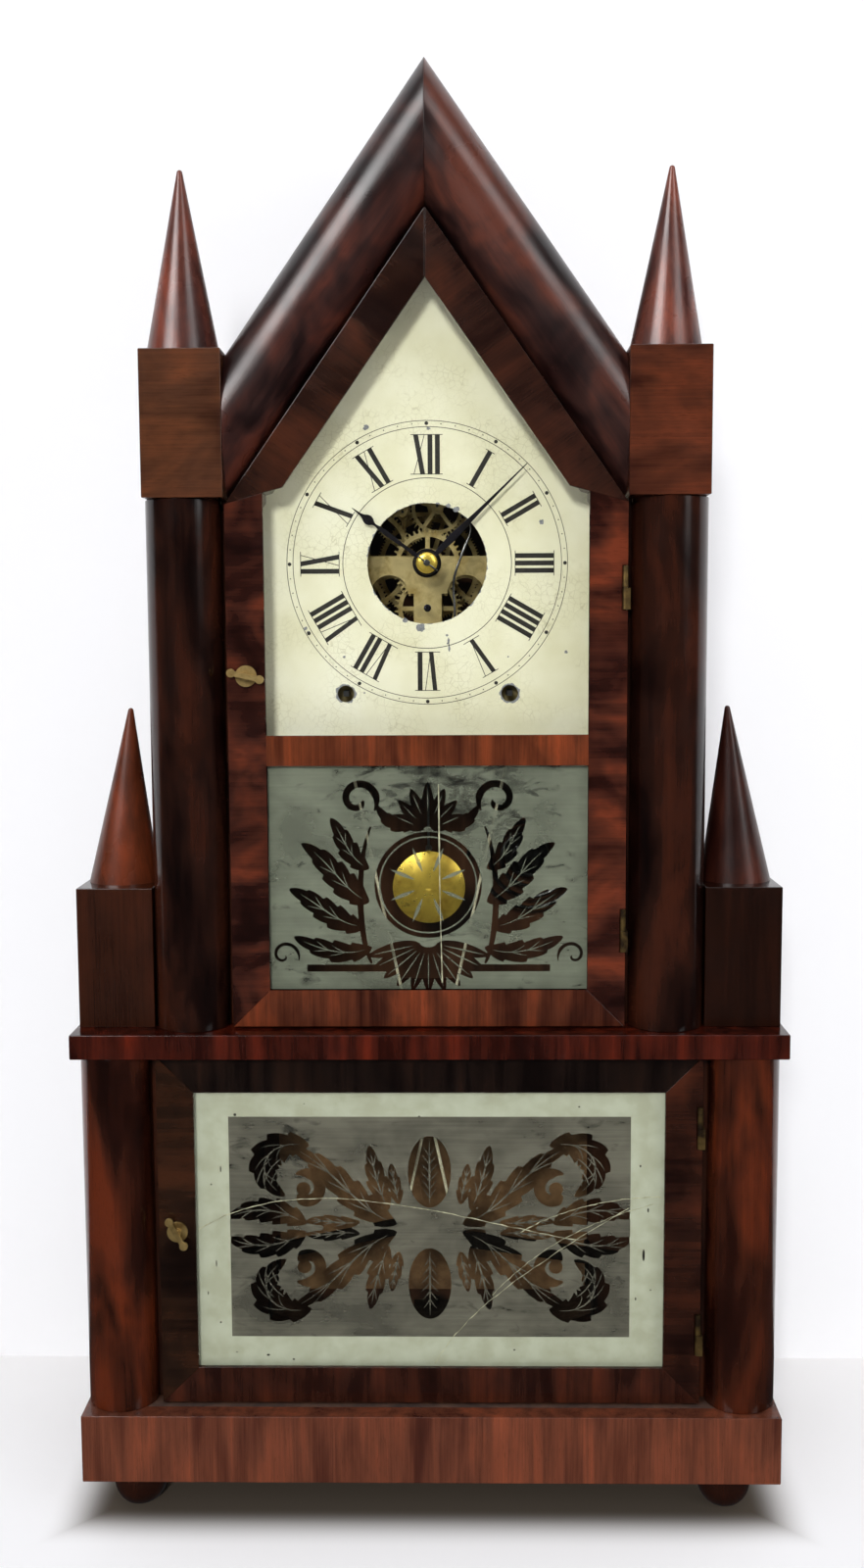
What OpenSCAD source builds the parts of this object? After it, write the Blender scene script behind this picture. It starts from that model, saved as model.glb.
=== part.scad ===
// Double steeple shelf clock: mahogany case, two glazed doors, eight-day brass movement
// worked by a leaf spring in the lower case. Millimetres, front towards -Y, floor at Z = 0.

/* [Case] */
// Width of the plinth
plinth_w = 336.4; // [334:0.2:350]
// Height of the plinth
plinth_h = 33.3; // [28:0.1:45]
// Depth of the plinth and so of the whole clock
case_d = 127; // [122:1:150]
// Height of the turned feet
foot_h = 20.5; // [14:0.5:30]
// Largest diameter of the turned feet
foot_dia = 26; // [20:1:32]
// Distance of each foot's centre from the plinth's edges
foot_inset = 23.5; // [18:0.5:40]
// Height of the lower case between plinth and shelf
lower_h = 174.7; // [172:0.1:200]
// Width of the shelf between the two cases
shelf_w = 338.8; // [336:0.2:350]
// Thickness of the shelf
shelf_t = 11.7; // [10:0.1:16]
// How far the shelf's front lies behind the plinth's front
shelf_setback = 3; // [0:0.5:6]
// Thickness of the case boards
board_t = 10; // [8:0.5:12]
// Thickness of the backboards
back_t = 7; // [5:0.5:10]
// Gap left round each door
door_gap = 1; // [0.6:0.1:1.4]

/* [Columns and steeples] */
// Diameter of the lower half-round columns
lower_column_dia = 34; // [30:1:36]
// Diameter of the upper half-round columns
upper_column_dia = 36; // [32:1:38]
// Height of the upper columns
upper_column_h = 249.7; // [245:0.1:280]
// How far the column fronts lie behind the plinth's front
lower_column_setback = 3.5; // [2:0.5:6]
// How far the upper column fronts lie behind the plinth's front
upper_column_setback = 7.5; // [6:0.5:10]
// Width of the blocks on the upper columns
cap_w = 37.4; // [34:0.2:40]
// Height of the blocks on the upper columns
cap_h = 66.6; // [60:0.2:75]
// Depth of the blocks on the upper columns
cap_d = 41; // [38:1:60]
// Height of the blocks at the sides of the upper case
side_block_h = 67.4; // [60:0.2:75]
// Depth of the blocks at the sides of the upper case
side_block_d = 52; // [38:1:60]
// How far the side blocks lie behind the plinth's front
side_block_setback = 18; // [12:1:24]
// Height of the upper steeples
steeple_h = 83.5; // [75:0.5:95]
// Height of the lower steeples
lower_steeple_h = 85; // [75:0.5:95]
// Diameter of the steeples at the foot
steeple_dia = 34; // [28:0.5:34]
// Lean of the lower steeples towards the middle, in degrees
lower_steeple_lean = 3.2; // [0:0.2:5]
// Lean of the upper right steeple away from the middle, in degrees
upper_right_lean = 1.4; // [0:0.2:3]

/* [Doors] */
// Half of the upper door's width
upper_door_half = 93.2; // [90:0.2:93.8]
// Half of the lower door's width
lower_door_half = 130.5; // [127:0.5:131]
// Angle of the gable from upright
gable_angle = 35.2; // [34:0.1:37]
// Width of the door frame members
frame_w = 17.8; // [15:0.2:19]
// Thickness of the doors
door_t = 14; // [12:0.5:15]
// How far the upper door's face lies behind the plinth's front
upper_door_setback = 15; // [14:0.5:17]
// How far the lower door's face lies behind the plinth's front
lower_door_setback = 12; // [11:0.5:14]
// Height of the rail between the dial glass and the tablet
mid_rail_h = 14.1; // [12:0.1:18]
// Height of the clear opening of the upper tablet
tablet_h = 107.1; // [100:0.1:112]
// Depth of the frame's lip in front of the glass
glass_lip = 2.5; // [2:0.1:4]
// Thickness of the glass
glass_t = 2; // [1.6:0.1:2.6]
// Width of the gable moulding
moulding_w = 38; // [32:0.5:38]

/* [Dial and hands] */
// Height of the hand arbor above the shelf
dial_rise = 220.6; // [216:0.2:222]
// Thickness of the dial plate
dial_t = 0.6; // [0.5:0.1:1]
// Radius of the opening in the middle of the dial
dial_hole_r = 28.5; // [26:0.5:30]
// Radius of the winding holes
winding_hole_r = 4; // [3.6:0.1:5]
// Length of the minute hand
minute_hand_l = 66; // [58:1:68]
// Length of the hour hand
hour_hand_l = 44; // [38:1:48]

/* [Movement] */
// How far the front plate lies behind the plinth's front
front_plate_setback = 48; // [48:0.5:49]
// Distance between the faces of the two plates
plate_gap = 38; // [38:0.5:40]
// Thickness of the plates
plate_t = 2; // [1.6:0.1:2.4]
// Sideways place of the winding arbors
winding_x = 39.4; // [39:0.1:40]
// Drop of the winding arbors below the hand arbor
winding_drop = 61.9; // [61:0.1:62.4]
// Length of the pendulum from its suspension to the middle of the bob
pendulum_l = 211; // [205:1:214]
// Diameter of the pendulum bob
bob_dia = 35.5; // [30:0.5:40]
// Running clearance of pivots in their holes
running = 0.05; // [0.03:0.01:0.08]

/* [Spring and levers] */
// Length of each lever from its pivot to its pin
lever_l = 96; // [92:1:97]
// Sideways place of the lever pins from the middle
lever_reach = 14; // [12:1:18]
// Half of the leaf spring's span
leaf_half = 84; // [78:1:86]
// Thickness of one leaf
leaf_t = 1.4; // [1.2:0.1:1.6]
// Number of leaves in the spring
leaf_count = 6; // [4:1:7]
// Width of the leaf spring
leaf_w = 30; // [24:1:34]
// Diameter of the cords
cord_dia = 1.6; // [1.2:0.1:2]

/* [Hidden] */

$fn = 64;
eps = 0.01;

// Thickness of the stiles behind the columns
stile_t = 12;
// How far the plinth stands out past the lower columns on each side
plinth_margin = 0.4;
// How far a leaning steeple's foot runs on before it is cut flat
foot_tuck = 1.5;

// Sides of the two trains: -1 is left, 1 is right. Each cord pulls down on the outer side of its
// drum, so the left train is the one that turns the hands clockwise
time_side = -1;
strike_side = 1;

// Heights of the case, from the floor up
plinth_top = foot_h + plinth_h;
shelf_bottom = plinth_top + lower_h;
shelf_top = shelf_bottom + shelf_t;
side_block_top = shelf_top + side_block_h;
cap_bottom = shelf_top + upper_column_h;
cap_top = cap_bottom + cap_h;

// Depths: distances behind the plinth's front, turned into Y
function back(setback) = setback - case_d / 2;
back_face = case_d / 2;
lower_seat = back(lower_column_setback + lower_column_dia / 2);
upper_seat = back(upper_column_setback + upper_column_dia / 2);
cap_front = back(upper_column_setback - 1);

// Sideways places
lower_outer = plinth_w / 2 - plinth_margin;
lower_column_x = lower_outer - lower_column_dia / 2;
upper_column_x = upper_door_half + 2.2 + upper_column_dia / 2;
upper_outer = upper_column_x + upper_column_dia / 2;
cap_x = upper_column_x - 2.3;
side_block_w = lower_outer - upper_outer;
side_block_x = upper_outer + side_block_w / 2;
dial_y = upper_seat + stile_t;
dial_drop = 88;

// Upper door outline
shoulder_drop = 2.4;
door_bottom = shelf_top + door_gap;
shoulder_z = cap_bottom - shoulder_drop;
slope = tan(gable_angle);
door_apex = shoulder_z + upper_door_half / slope;
moulding_apex = door_apex + (door_gap + moulding_w) / sin(gable_angle);
upper_door_y = back(upper_door_setback);
lower_door_y = back(lower_door_setback);
lower_door_bottom = plinth_top + door_gap;
lower_door_top = shelf_bottom - door_gap;
tablet_bottom = door_bottom + frame_w;
tablet_top = tablet_bottom + tablet_h;
dial_glass_bottom = tablet_top + mid_rail_h;
rabbet_w = 4;
putty_gap = 0.2;

// Hinges and catches
knuckle_r = 1.3;
hinge_pin_r = 0.6;
hinge_l = 20;
leaf_plate_t = 0.6;
hinge_inset = 1.2;
upper_hinge_low = 47.3;
upper_hinge_high = 208.1;
lower_hinge_in = 36;
upper_hinge_zs = [shelf_top + upper_hinge_low, shelf_top + upper_hinge_high];
lower_hinge_zs = [plinth_top + lower_hinge_in, shelf_bottom - lower_hinge_in];
catch_spindle_r = 2;
upper_catch_rise = 168.1;
upper_catch_z = shelf_top + upper_catch_rise;
lower_catch_z = plinth_top + lower_h / 2;

// Movement centres: X sideways and Z up from the hand arbor
dial_z = shelf_top + dial_rise;
great_at = [winding_x, -winding_drop];
third_d = wheel_r(80, 0.65) + wheel_r(24, 0.65);
second_d = wheel_r(66, 0.75) + wheel_r(10, 0.75);
great_d = wheel_r(72, 0.95) + wheel_r(12, 0.95);
third_at = third_d * [cos(6.8), sin(6.8)];
second_at = meet(third_at, second_d, great_at, great_d);
fourth_d = wheel_r(104, 0.5) + wheel_r(8, 0.5);
escape_d = wheel_r(60, 0.5) + wheel_r(8, 0.5);
fourth_at = fourth_d * [cos(115.4), sin(115.4)];
escape_at = fourth_at + escape_d * [cos(9), sin(9)];
verge_at = escape_at + [0, 18.5];
fly_d = wheel_r(80, 0.65) + wheel_r(8, 0.65);
fly_at = to_side(strike_side, third_at) + fly_d * [strike_side * cos(75), sin(75)];
motion_d = 21;
minute_wheel_at = [0, -motion_d];
hammer_at = [strike_side * 76, -34];
suspension_rise = 54;
post_places = [[-66, 3], [66, 3], [0, -92], [-28, 56], [28, 56]];
plate_front_y = back(front_plate_setback);
plate_inner_y = plate_front_y + plate_t;
back_plate_y = plate_inner_y + plate_gap;
arbor_r = 1.1;
pivot_r = 0.7;
winding_r = 2.6;
centre_r = 1.5;
pipe_r = 2.6;
drum_r = 6.8;
pin_share = 0.15;

// Leaf spring, levers and cords
lever_pivot_x = lever_reach + lever_l * cos(10);
lever_pivot_z = plinth_top + 47;
lever_y = back(70);
lever_t = 3;
left_lever_tilt = 12;
right_lever_tilt = 8;

// Pitch radius of a wheel from its teeth and module
function wheel_r(teeth, m) = teeth * m / 2;

// Third corner of a triangle on p and q, at distances a and b, on the outer side
function meet(p, a, q, b) =
    let (d = norm(q - p), along = (a * a - b * b + d * d) / (2 * d),
         side = sqrt(a * a - along * along), u = (q - p) / d)
    p + u * along + side * [-u.y, u.x];

// A place on the right moved to the side s
function to_side(s, p) = [s * p.x, p.y];

// A shape on the right moved to the side s
module on_side(s) {
    if (s < 0) mirror([1, 0, 0]) children();
    else children();
}

module brass() { color([0.76, 0.62, 0.32]) children(); }
module steel() { color([0.36, 0.36, 0.38]) children(); }
module iron() { color([0.2, 0.19, 0.19]) children(); }
module veneer() { color([0.36, 0.14, 0.07]) children(); }
module dark_veneer() { color([0.26, 0.1, 0.06]) children(); }
module pine() { color([0.62, 0.45, 0.28]) children(); }

// A board between two corners
module board(low, high) { translate(low) cube(high - low); }

// Something drawn in the XY plane, stood up to face the front at depth y
module upright(y, t) {
    translate([0, y, 0]) rotate([90, 0, 0]) translate([0, 0, -t]) linear_extrude(t) children();
}

// A round bar along Y between two depths, at a place [x, z]
module bar(at, r, y0, y1) {
    translate([at.x, y0, at.y]) rotate([-90, 0, 0]) cylinder(r = r, h = y1 - y0);
}

// Case

module bun_feet() {
    dark_veneer()
    for (sx = [-1, 1], sy = [-1, 1])
        translate([sx * (plinth_w / 2 - foot_inset), sy * (case_d / 2 - foot_inset), 0])
        {
            cylinder(r = foot_dia * 0.3, h = foot_h);
            rotate_extrude()
            intersection() {
                translate([0, foot_h / 2]) circle(r = foot_dia / 2);
                square([foot_dia, foot_h]);
            }
        }
}

module base_plinth() {
    veneer() {
        board([-plinth_w / 2, -case_d / 2, foot_h], [plinth_w / 2, board_t - case_d / 2, plinth_top]);
        for (s = [-1, 1])
            board([s > 0 ? plinth_w / 2 - board_t : -plinth_w / 2, board_t - case_d / 2, foot_h],
                  [s > 0 ? plinth_w / 2 : board_t - plinth_w / 2, back_face, plinth_top]);
        for (sx = [-1, 1], sy = [-1, 1])
            let (x = sx * (plinth_w / 2 - foot_inset), y = sy * (case_d / 2 - foot_inset))
            board([x - foot_inset + board_t, y - foot_inset + board_t, foot_h],
                  [x + foot_inset - board_t, y + foot_inset - board_t, plinth_top - board_t]);
    }
}

module base_board() {
    pine()
    board([board_t - plinth_w / 2, board_t - case_d / 2, plinth_top - board_t],
          [plinth_w / 2 - board_t, back_face, plinth_top]);
}

module case_sides(outer, inner, seat, z0, z1) {
    for (s = [-1, 1]) on_side(s) {
        board([inner, seat, z0], [outer, seat + stile_t, z1]);
        board([outer - board_t, seat + stile_t, z0], [outer, back_face - back_t, z1]);
    }
}

// The catch's blade turns down from upright into this slot in the left stile
module catch_slot(stile_edge, door_y, z) {
    board([-stile_edge - 9, door_y + door_t, z - 4], [-stile_edge + 1, door_y + door_t + 2.6, z + 17]);
}

module lower_sides() {
    veneer()
    difference() {
        case_sides(lower_outer, lower_door_half + door_gap, lower_seat, plinth_top, shelf_bottom);
        catch_slot(lower_door_half + door_gap, lower_door_y, lower_catch_z);
    }
}

module upper_sides() {
    veneer()
    difference() {
        case_sides(upper_outer, upper_door_half + door_gap, upper_seat, shelf_top, cap_bottom);
        catch_slot(upper_door_half + door_gap, upper_door_y, upper_catch_z);
    }
}

module lower_backboard() {
    pine()
    board([-lower_outer, back_face - back_t, plinth_top], [lower_outer, back_face, shelf_bottom]);
}

module half_column(x, seat, dia, z0, z1) {
    translate([x, seat, z0])
    intersection() {
        cylinder(d = dia, h = z1 - z0);
        translate([-dia, -dia, 0]) cube([2 * dia, dia, z1 - z0]);
    }
}

module lower_columns() {
    veneer() for (s = [-1, 1])
        half_column(s * lower_column_x, lower_seat, lower_column_dia, plinth_top, shelf_bottom);
}

module upper_columns() {
    veneer() for (s = [-1, 1])
        half_column(s * upper_column_x, upper_seat, upper_column_dia, shelf_top, cap_bottom);
}

cord_slot_half = 26;
module middle_shelf() {
    dark_veneer()
    difference() {
        board([-shelf_w / 2, back(shelf_setback), shelf_bottom], [shelf_w / 2, back_face, shelf_top]);
        board([-cord_slot_half, lever_y - 10, shelf_bottom - eps], [cord_slot_half, lever_y + 10, shelf_top + eps]);
    }
}

module side_block(s) {
    dark_veneer()
    translate([s * side_block_x - side_block_w / 2, back(side_block_setback), shelf_top])
    cube([side_block_w, side_block_d, side_block_h]);
}

module cap_block(s) {
    dark_veneer()
    translate([s * cap_x - cap_w / 2, cap_front, cap_bottom]) cube([cap_w, cap_d, cap_h]);
}

steeple_tip_r = 1.3;
module steeple(h, tuck) {
    cone_h = h - steeple_tip_r;
    foot_r = steeple_dia / 2 + tuck * (steeple_dia / 2 - steeple_tip_r) / cone_h;
    translate([0, 0, -tuck]) cylinder(r1 = foot_r, r2 = steeple_tip_r, h = cone_h + tuck);
    translate([0, 0, cone_h - 0.2]) sphere(r = steeple_tip_r);
}

// A steeple that leans sideways, its foot cut flat on its block
module leaning_steeple(h, lean) {
    intersection() {
        rotate([0, lean, 0]) steeple(h, foot_tuck);
        translate([-steeple_dia, -steeple_dia, 0]) cube([2 * steeple_dia, 2 * steeple_dia, h + 1]);
    }
}

module lower_steeple(s) {
    veneer()
    translate([s * side_block_x, back(side_block_setback + side_block_d / 2), side_block_top])
    leaning_steeple(lower_steeple_h, -s * lower_steeple_lean);
}

// The left one stands upright, a little outwards of its block's middle
upper_left_offset = 1.5;
module upper_steeple(s) {
    veneer()
    if (s < 0)
        translate([-cap_x - upper_left_offset, cap_front + cap_d / 2, cap_top]) steeple(steeple_h, 0);
    else
        translate([cap_x, cap_front + cap_d / 2, cap_top]) leaning_steeple(steeple_h, upper_right_lean);
}

// The gable as a solid under a pair of slopes through an apex, out to a half width
module gable_outline(apex, half, floor) {
    polygon([[-half, floor], [half, floor], [half, apex - half / slope], [0, apex],
             [-half, apex - half / slope]]);
}

cap_inner = cap_x - cap_w / 2;
module gable_moulding(s) {
    run = moulding_w * 9;
    dark_veneer()
    on_side(s)
    intersection() {
        translate([0, upper_seat, moulding_apex])
        rotate([0, 180 - gable_angle, 0])
        translate([moulding_w / 2, 0, -moulding_w * 2])
        intersection() {
            cylinder(d = moulding_w, h = run);
            translate([-moulding_w, -moulding_w, 0]) cube([2 * moulding_w, moulding_w, run]);
        }
        board([0, -case_d, cap_bottom], [cap_inner, case_d, moulding_apex + 1]);
    }
}

// The gable's slopes as a band of a given width
module gable_band(w, half, floor) {
    difference() {
        gable_outline(moulding_apex, half, floor);
        gable_outline(moulding_apex - w / sin(gable_angle), half - w, floor - 1);
    }
}

module roof_boards() {
    pine() {
        upright(upper_seat, stile_t)
        intersection() {
            gable_band(moulding_w, cap_inner + moulding_w, cap_bottom);
            translate([-cap_inner, cap_bottom]) square([2 * cap_inner, moulding_apex]);
        }
        difference() {
            upright(upper_seat + stile_t, back_face - back_t - upper_seat - stile_t)
            gable_band(board_t, upper_outer, cap_bottom);
            for (s = [-1, 1])
                translate([s * cap_x - cap_w / 2, cap_front, cap_bottom - 1]) cube([cap_w, cap_d, cap_h + 1]);
        }
    }
}

module upper_backboard() {
    pine()
    upright(back_face - back_t, back_t) gable_outline(moulding_apex, upper_outer, shelf_top);
}

module paper_label() {
    color([0.78, 0.7, 0.5])
    board([-85, back_face - back_t - 0.4, plinth_top + 10], [85, back_face - back_t, shelf_bottom - 20]);
}

// Doors

module door_outline(inset) {
    half = upper_door_half - inset;
    apex = door_apex - inset / sin(gable_angle);
    low = door_bottom + inset;
    polygon([[-half, low], [half, low], [half, apex - half / slope], [0, apex], [-half, apex - half / slope]]);
}

module above(z) { translate([-500, z]) square([1000, 1000]); }

module upper_panes(grow) {
    intersection() {
        door_outline(frame_w - grow);
        above(dial_glass_bottom - grow);
    }
    translate([-(upper_door_half - frame_w + grow), tablet_bottom - grow])
    square([2 * (upper_door_half - frame_w + grow), tablet_h + 2 * grow]);
}

// Recesses for the hinge plates and for the barrels on the door's front corner
module hinge_recess(x, y, z, depth) {
    board([x - 0.8, y - 1, z - hinge_l / 2 - 0.3], [x + 1, y + depth + eps, z + hinge_l / 2 + 0.3]);
    translate([x - hinge_inset, y - 0.5, z - hinge_l / 2 - 0.3]) cylinder(r = knuckle_r + 0.4, h = hinge_l + 0.6);
}

module catch_hole(x, y, z) { bar([x, z], catch_spindle_r + running, y - 1, y + door_t + 1); }

upper_catch_x = -(upper_door_half - frame_w / 2);
lower_catch_x = -(lower_door_half - frame_w / 2);

module upper_door_frame() {
    veneer()
    difference() {
        upright(upper_door_y, door_t) door_outline(0);
        upright(upper_door_y - 1, door_t + 2) upper_panes(0);
        upright(upper_door_y + glass_lip, door_t) upper_panes(rabbet_w);
        for (z = upper_hinge_zs) hinge_recess(upper_door_half, upper_door_y, z, door_t);
        catch_hole(upper_catch_x, upper_door_y, upper_catch_z);
    }
}

module dial_glass() {
    color([0.8, 0.86, 0.84, 0.25])
    upright(upper_door_y + glass_lip, glass_t)
    intersection() {
        door_outline(frame_w - rabbet_w + putty_gap);
        above(dial_glass_bottom - rabbet_w + putty_gap);
    }
}

module upper_tablet() {
    half = upper_door_half - frame_w + rabbet_w - putty_gap;
    color([0.45, 0.47, 0.46, 0.8])
    board([-half, upper_door_y + glass_lip, tablet_bottom - rabbet_w + putty_gap],
          [half, upper_door_y + glass_lip + glass_t, tablet_top + rabbet_w - putty_gap]);
}

module lower_frame_outline(inset) {
    translate([-(lower_door_half - inset), lower_door_bottom + inset])
    square([2 * (lower_door_half - inset), lower_door_top - lower_door_bottom - 2 * inset]);
}

module lower_door_frame() {
    veneer()
    difference() {
        upright(lower_door_y, door_t) lower_frame_outline(0);
        upright(lower_door_y - 1, door_t + 2) lower_frame_outline(frame_w);
        upright(lower_door_y + glass_lip, door_t) lower_frame_outline(frame_w - rabbet_w);
        for (z = lower_hinge_zs) hinge_recess(lower_door_half, lower_door_y, z, door_t);
        catch_hole(lower_catch_x, lower_door_y, lower_catch_z);
    }
}

module lower_tablet() {
    color([0.6, 0.64, 0.58, 0.8])
    upright(lower_door_y + glass_lip, glass_t) lower_frame_outline(frame_w - rabbet_w + putty_gap);
}

// The lower half of a hinge: barrel and pin, with its leaf screwed to the case stile
module case_hinge(door_half, door_y, z) {
    x = door_half - hinge_inset;
    y = door_y - 0.5;
    edge = door_half + door_gap;
    translate([x, y, z - hinge_l / 2]) {
        cylinder(r = knuckle_r, h = hinge_l / 2 - 0.15);
        cylinder(r = hinge_pin_r, h = hinge_l - 0.6);
    }
    board([x, y - knuckle_r, z - hinge_l / 2], [edge, y - knuckle_r + leaf_plate_t, z - 0.15]);
    board([edge - leaf_plate_t, y - knuckle_r, z - hinge_l / 2], [edge, y + door_t + 7, z - 0.15]);
}

// The upper half of a hinge, with its leaf let into the door's edge
module door_hinge(door_half, door_y, z) {
    x = door_half - hinge_inset;
    y = door_y - 0.5;
    difference() {
        union() {
            translate([x, y, z + 0.15]) cylinder(r = knuckle_r, h = hinge_l / 2 - 0.15);
            board([door_half - 0.7, y, z + 0.15],
                  [door_half - 0.7 + leaf_plate_t, door_y + door_t, z + hinge_l / 2]);
        }
        translate([x, y, z]) cylinder(r = hinge_pin_r + running, h = hinge_l);
    }
}

module case_hinges() {
    brass() {
        for (z = upper_hinge_zs) case_hinge(upper_door_half, upper_door_y, z);
        for (z = lower_hinge_zs) case_hinge(lower_door_half, lower_door_y, z);
    }
}

module upper_door_hinges() {
    brass() for (z = upper_hinge_zs) door_hinge(upper_door_half, upper_door_y, z);
}

module lower_door_hinges() {
    brass() for (z = lower_hinge_zs) door_hinge(lower_door_half, lower_door_y, z);
}

// A turn catch: rose and thumb bar in front, spindle through the stile, blade behind
module turn_catch(x, y, z, angle) {
    brass() {
        bar([x, z], 5, y - 1.2, y - 0.1);
        bar([x, z], catch_spindle_r, y - 3.4, y + door_t + 1.8);
        translate([x, 0, z]) rotate([0, angle, 0]) translate([-x, 0, -z]) {
            board([x - 7.5, y - 4.4, z - 1.2], [x + 7.5, y - 2.9, z + 1.2]);
            for (s = [-1, 1]) bar([x + s * 6.8, z], 2, y - 4.4, y - 2.9);
        }
        board([x - 3, y + door_t + 0.4, z - 3], [x + 3, y + door_t + 1.8, z + 16]);
    }
}

module upper_catch() { turn_catch(upper_catch_x, upper_door_y, upper_catch_z, 13); }
module lower_catch() { turn_catch(lower_catch_x, lower_door_y, lower_catch_z, 60); }

// Dial

module dial_plate() {
    color([0.9, 0.87, 0.72])
    difference() {
        upright(dial_y, dial_t)
        intersection() {
            door_outline(-4);
            above(dial_z - dial_drop);
            union() {
                translate([-upper_outer, shelf_top]) square([2 * upper_outer, upper_column_h - door_gap]);
                translate([-cap_inner + door_gap, cap_bottom - 2]) square([2 * (cap_inner - door_gap), moulding_apex]);
            }
        }
        bar([0, dial_z], dial_hole_r, dial_y - 1, dial_y + dial_t + 1);
        for (s = [-1, 1])
            bar([s * great_at.x, dial_z + great_at.y], winding_hole_r, dial_y - 1,
                dial_y + dial_t + 1);
    }
}

// Movement parts: everything below is placed from the hand arbor

module at_dial() { translate([0, 0, dial_z]) children(); }

module gear_outline(teeth, m) {
    pitch = 360 / teeth;
    root = wheel_r(teeth, m) - 1.2 * m;
    tip = wheel_r(teeth, m) + 0.8 * m;
    polygon([for (i = [0 : teeth - 1], p = [[root, -0.25], [tip, -0.1], [tip, 0.1], [root, 0.25]])
        p[0] * [cos((i + p[1]) * pitch), sin((i + p[1]) * pitch)]]);
}

// A wheel with crossings: rim, hub and spokes. phase turns its first tooth from +X
module wheel(teeth, m, at, y, t, bore, hub_r, spokes, phase) {
    rim = wheel_r(teeth, m) - 1.2 * m - 2.2;
    upright(y, t)
    translate(at)
    difference() {
        rotate(phase) gear_outline(teeth, m);
        difference() {
            circle(r = rim);
            circle(r = hub_r);
            for (k = [0 : spokes - 1]) rotate(k * 360 / spokes) translate([0, -1.1]) square([rim + 1, 2.2]);
        }
        circle(r = bore);
    }
}

// A lantern pinion: two brass shrouds with steel pins between them. Its pins fill the gaps of
// the wheel that it meets, whose plane runs from y to y + t
module lantern(pins, m, at, y, t, phase) {
    r = wheel_r(pins, m);
    pin = PI * m * pin_share;
    gap = 0.7;
    shroud = 0.9;
    brass() for (y0 = [y - gap - shroud, y + t + gap])
        bar(at, r + pin + 0.5, y0, y0 + shroud);
    steel() for (k = [0 : pins - 1])
        bar(at + r * [cos(phase + k * 360 / pins), sin(phase + k * 360 / pins)], pin,
            y - gap - 0.2, y + t + gap + 0.2);
}

// An arbor between the plates, with thinner pivots in the plates' holes
module arbor(at, r) {
    steel() {
        bar(at, r, plate_inner_y + 0.3, back_plate_y - 0.3);
        bar(at, pivot_r, plate_front_y - 0.3, back_plate_y + plate_t + 0.3);
    }
}

// Direction from one centre to another, in degrees from +X
function heading(p, q) = atan2(q.y - p.y, q.x - p.x);

// Turns a lantern so that a pin points at its wheel's centre, between two teeth.
// The wheel is turned by the phase below so that a gap points back at the pin.
function gap_phase(teeth, p, q) = heading(p, q) - 180 / teeth;

great_y = back_plate_y - 8;
second_y = plate_inner_y + 22;
time_third_y = plate_inner_y + 12;
strike_third_y = plate_inner_y + 26;
centre_y = back_plate_y - 4;
fourth_y = plate_inner_y + 16;
escape_y = plate_inner_y + 8.5;

module great_wheel(s) {
    at = to_side(s, great_at);
    to = to_side(s, second_at);
    brass() at_dial()
    wheel(72, 0.95, at, great_y, 2, winding_r + running, 7, 5, gap_phase(72, at, to));
}

module drum(s) {
    at = to_side(s, great_at);
    at_dial() {
        steel() {
            bar(at, winding_r, plate_inner_y + 0.3, back_plate_y - 0.3);
            bar(at, winding_r - 0.8, plate_inner_y, back_plate_y + plate_t + 0.3);
            bar(at, winding_r - 0.8, plate_front_y - 0.3, plate_inner_y + 0.5);
            translate([at.x, 0, at.y])
            board([-1.3, dial_y + dial_t + 0.6, -1.3], [1.3, plate_front_y, 1.3]);
        }
        brass() {
            bar(at, drum_r, plate_inner_y + 9, great_y - 3);
            bar(at, drum_r + 3, plate_inner_y + 8, plate_inner_y + 9);
            upright(great_y - 3, 2)
            translate(at)
            polygon([for (i = [0 : 23], p = [[10.5, 0], [8.6, 0.9]])
                p[0] * [cos((i + p[1]) * 15), sin((i + p[1]) * 15)]]);
        }
    }
}

module second_wheel(s) {
    at = to_side(s, second_at);
    at_dial() {
        arbor(at, 1.2);
        lantern(12, 0.95, at, great_y, 2, heading(at, to_side(s, great_at)));
        brass() wheel(66, 0.75, at, second_y, 1.5, 1.1, 5, 4,
            gap_phase(66, at, to_side(s, third_at)));
    }
}

module third_wheel(s, y, to) {
    at = to_side(s, third_at);
    at_dial() {
        arbor(at, arbor_r);
        lantern(10, 0.75, at, second_y, 1.5, heading(at, to_side(s, second_at)));
        brass() wheel(80, 0.65, at, y, 1.5, 1, 5, 4, gap_phase(80, at, to));
    }
}

module centre_wheel() {
    at_dial() {
        steel() {
            bar([0, 0], centre_r, dial_y - 10, back_plate_y - 0.3);
            bar([0, 0], pivot_r, back_plate_y - 1, back_plate_y + plate_t + 0.3);
        }
        lantern(24, 0.65, [0, 0], time_third_y, 1.5, heading([0, 0], to_side(time_side, third_at)));
        lantern(12, 0.875, [0, 0], motion_y2, 1.2, -90);
        brass() wheel(104, 0.5, [0, 0], centre_y, 1.2, centre_r - 0.1, 5, 5, gap_phase(104, [0, 0], fourth_at));
    }
}

module fourth_wheel() {
    at_dial() {
        arbor(fourth_at, 0.9);
        lantern(8, 0.5, fourth_at, centre_y, 1.2, heading(fourth_at, [0, 0]));
        brass() wheel(60, 0.5, fourth_at, fourth_y, 1.2, 0.8, 3, 4, gap_phase(60, fourth_at, escape_at));
    }
}

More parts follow.
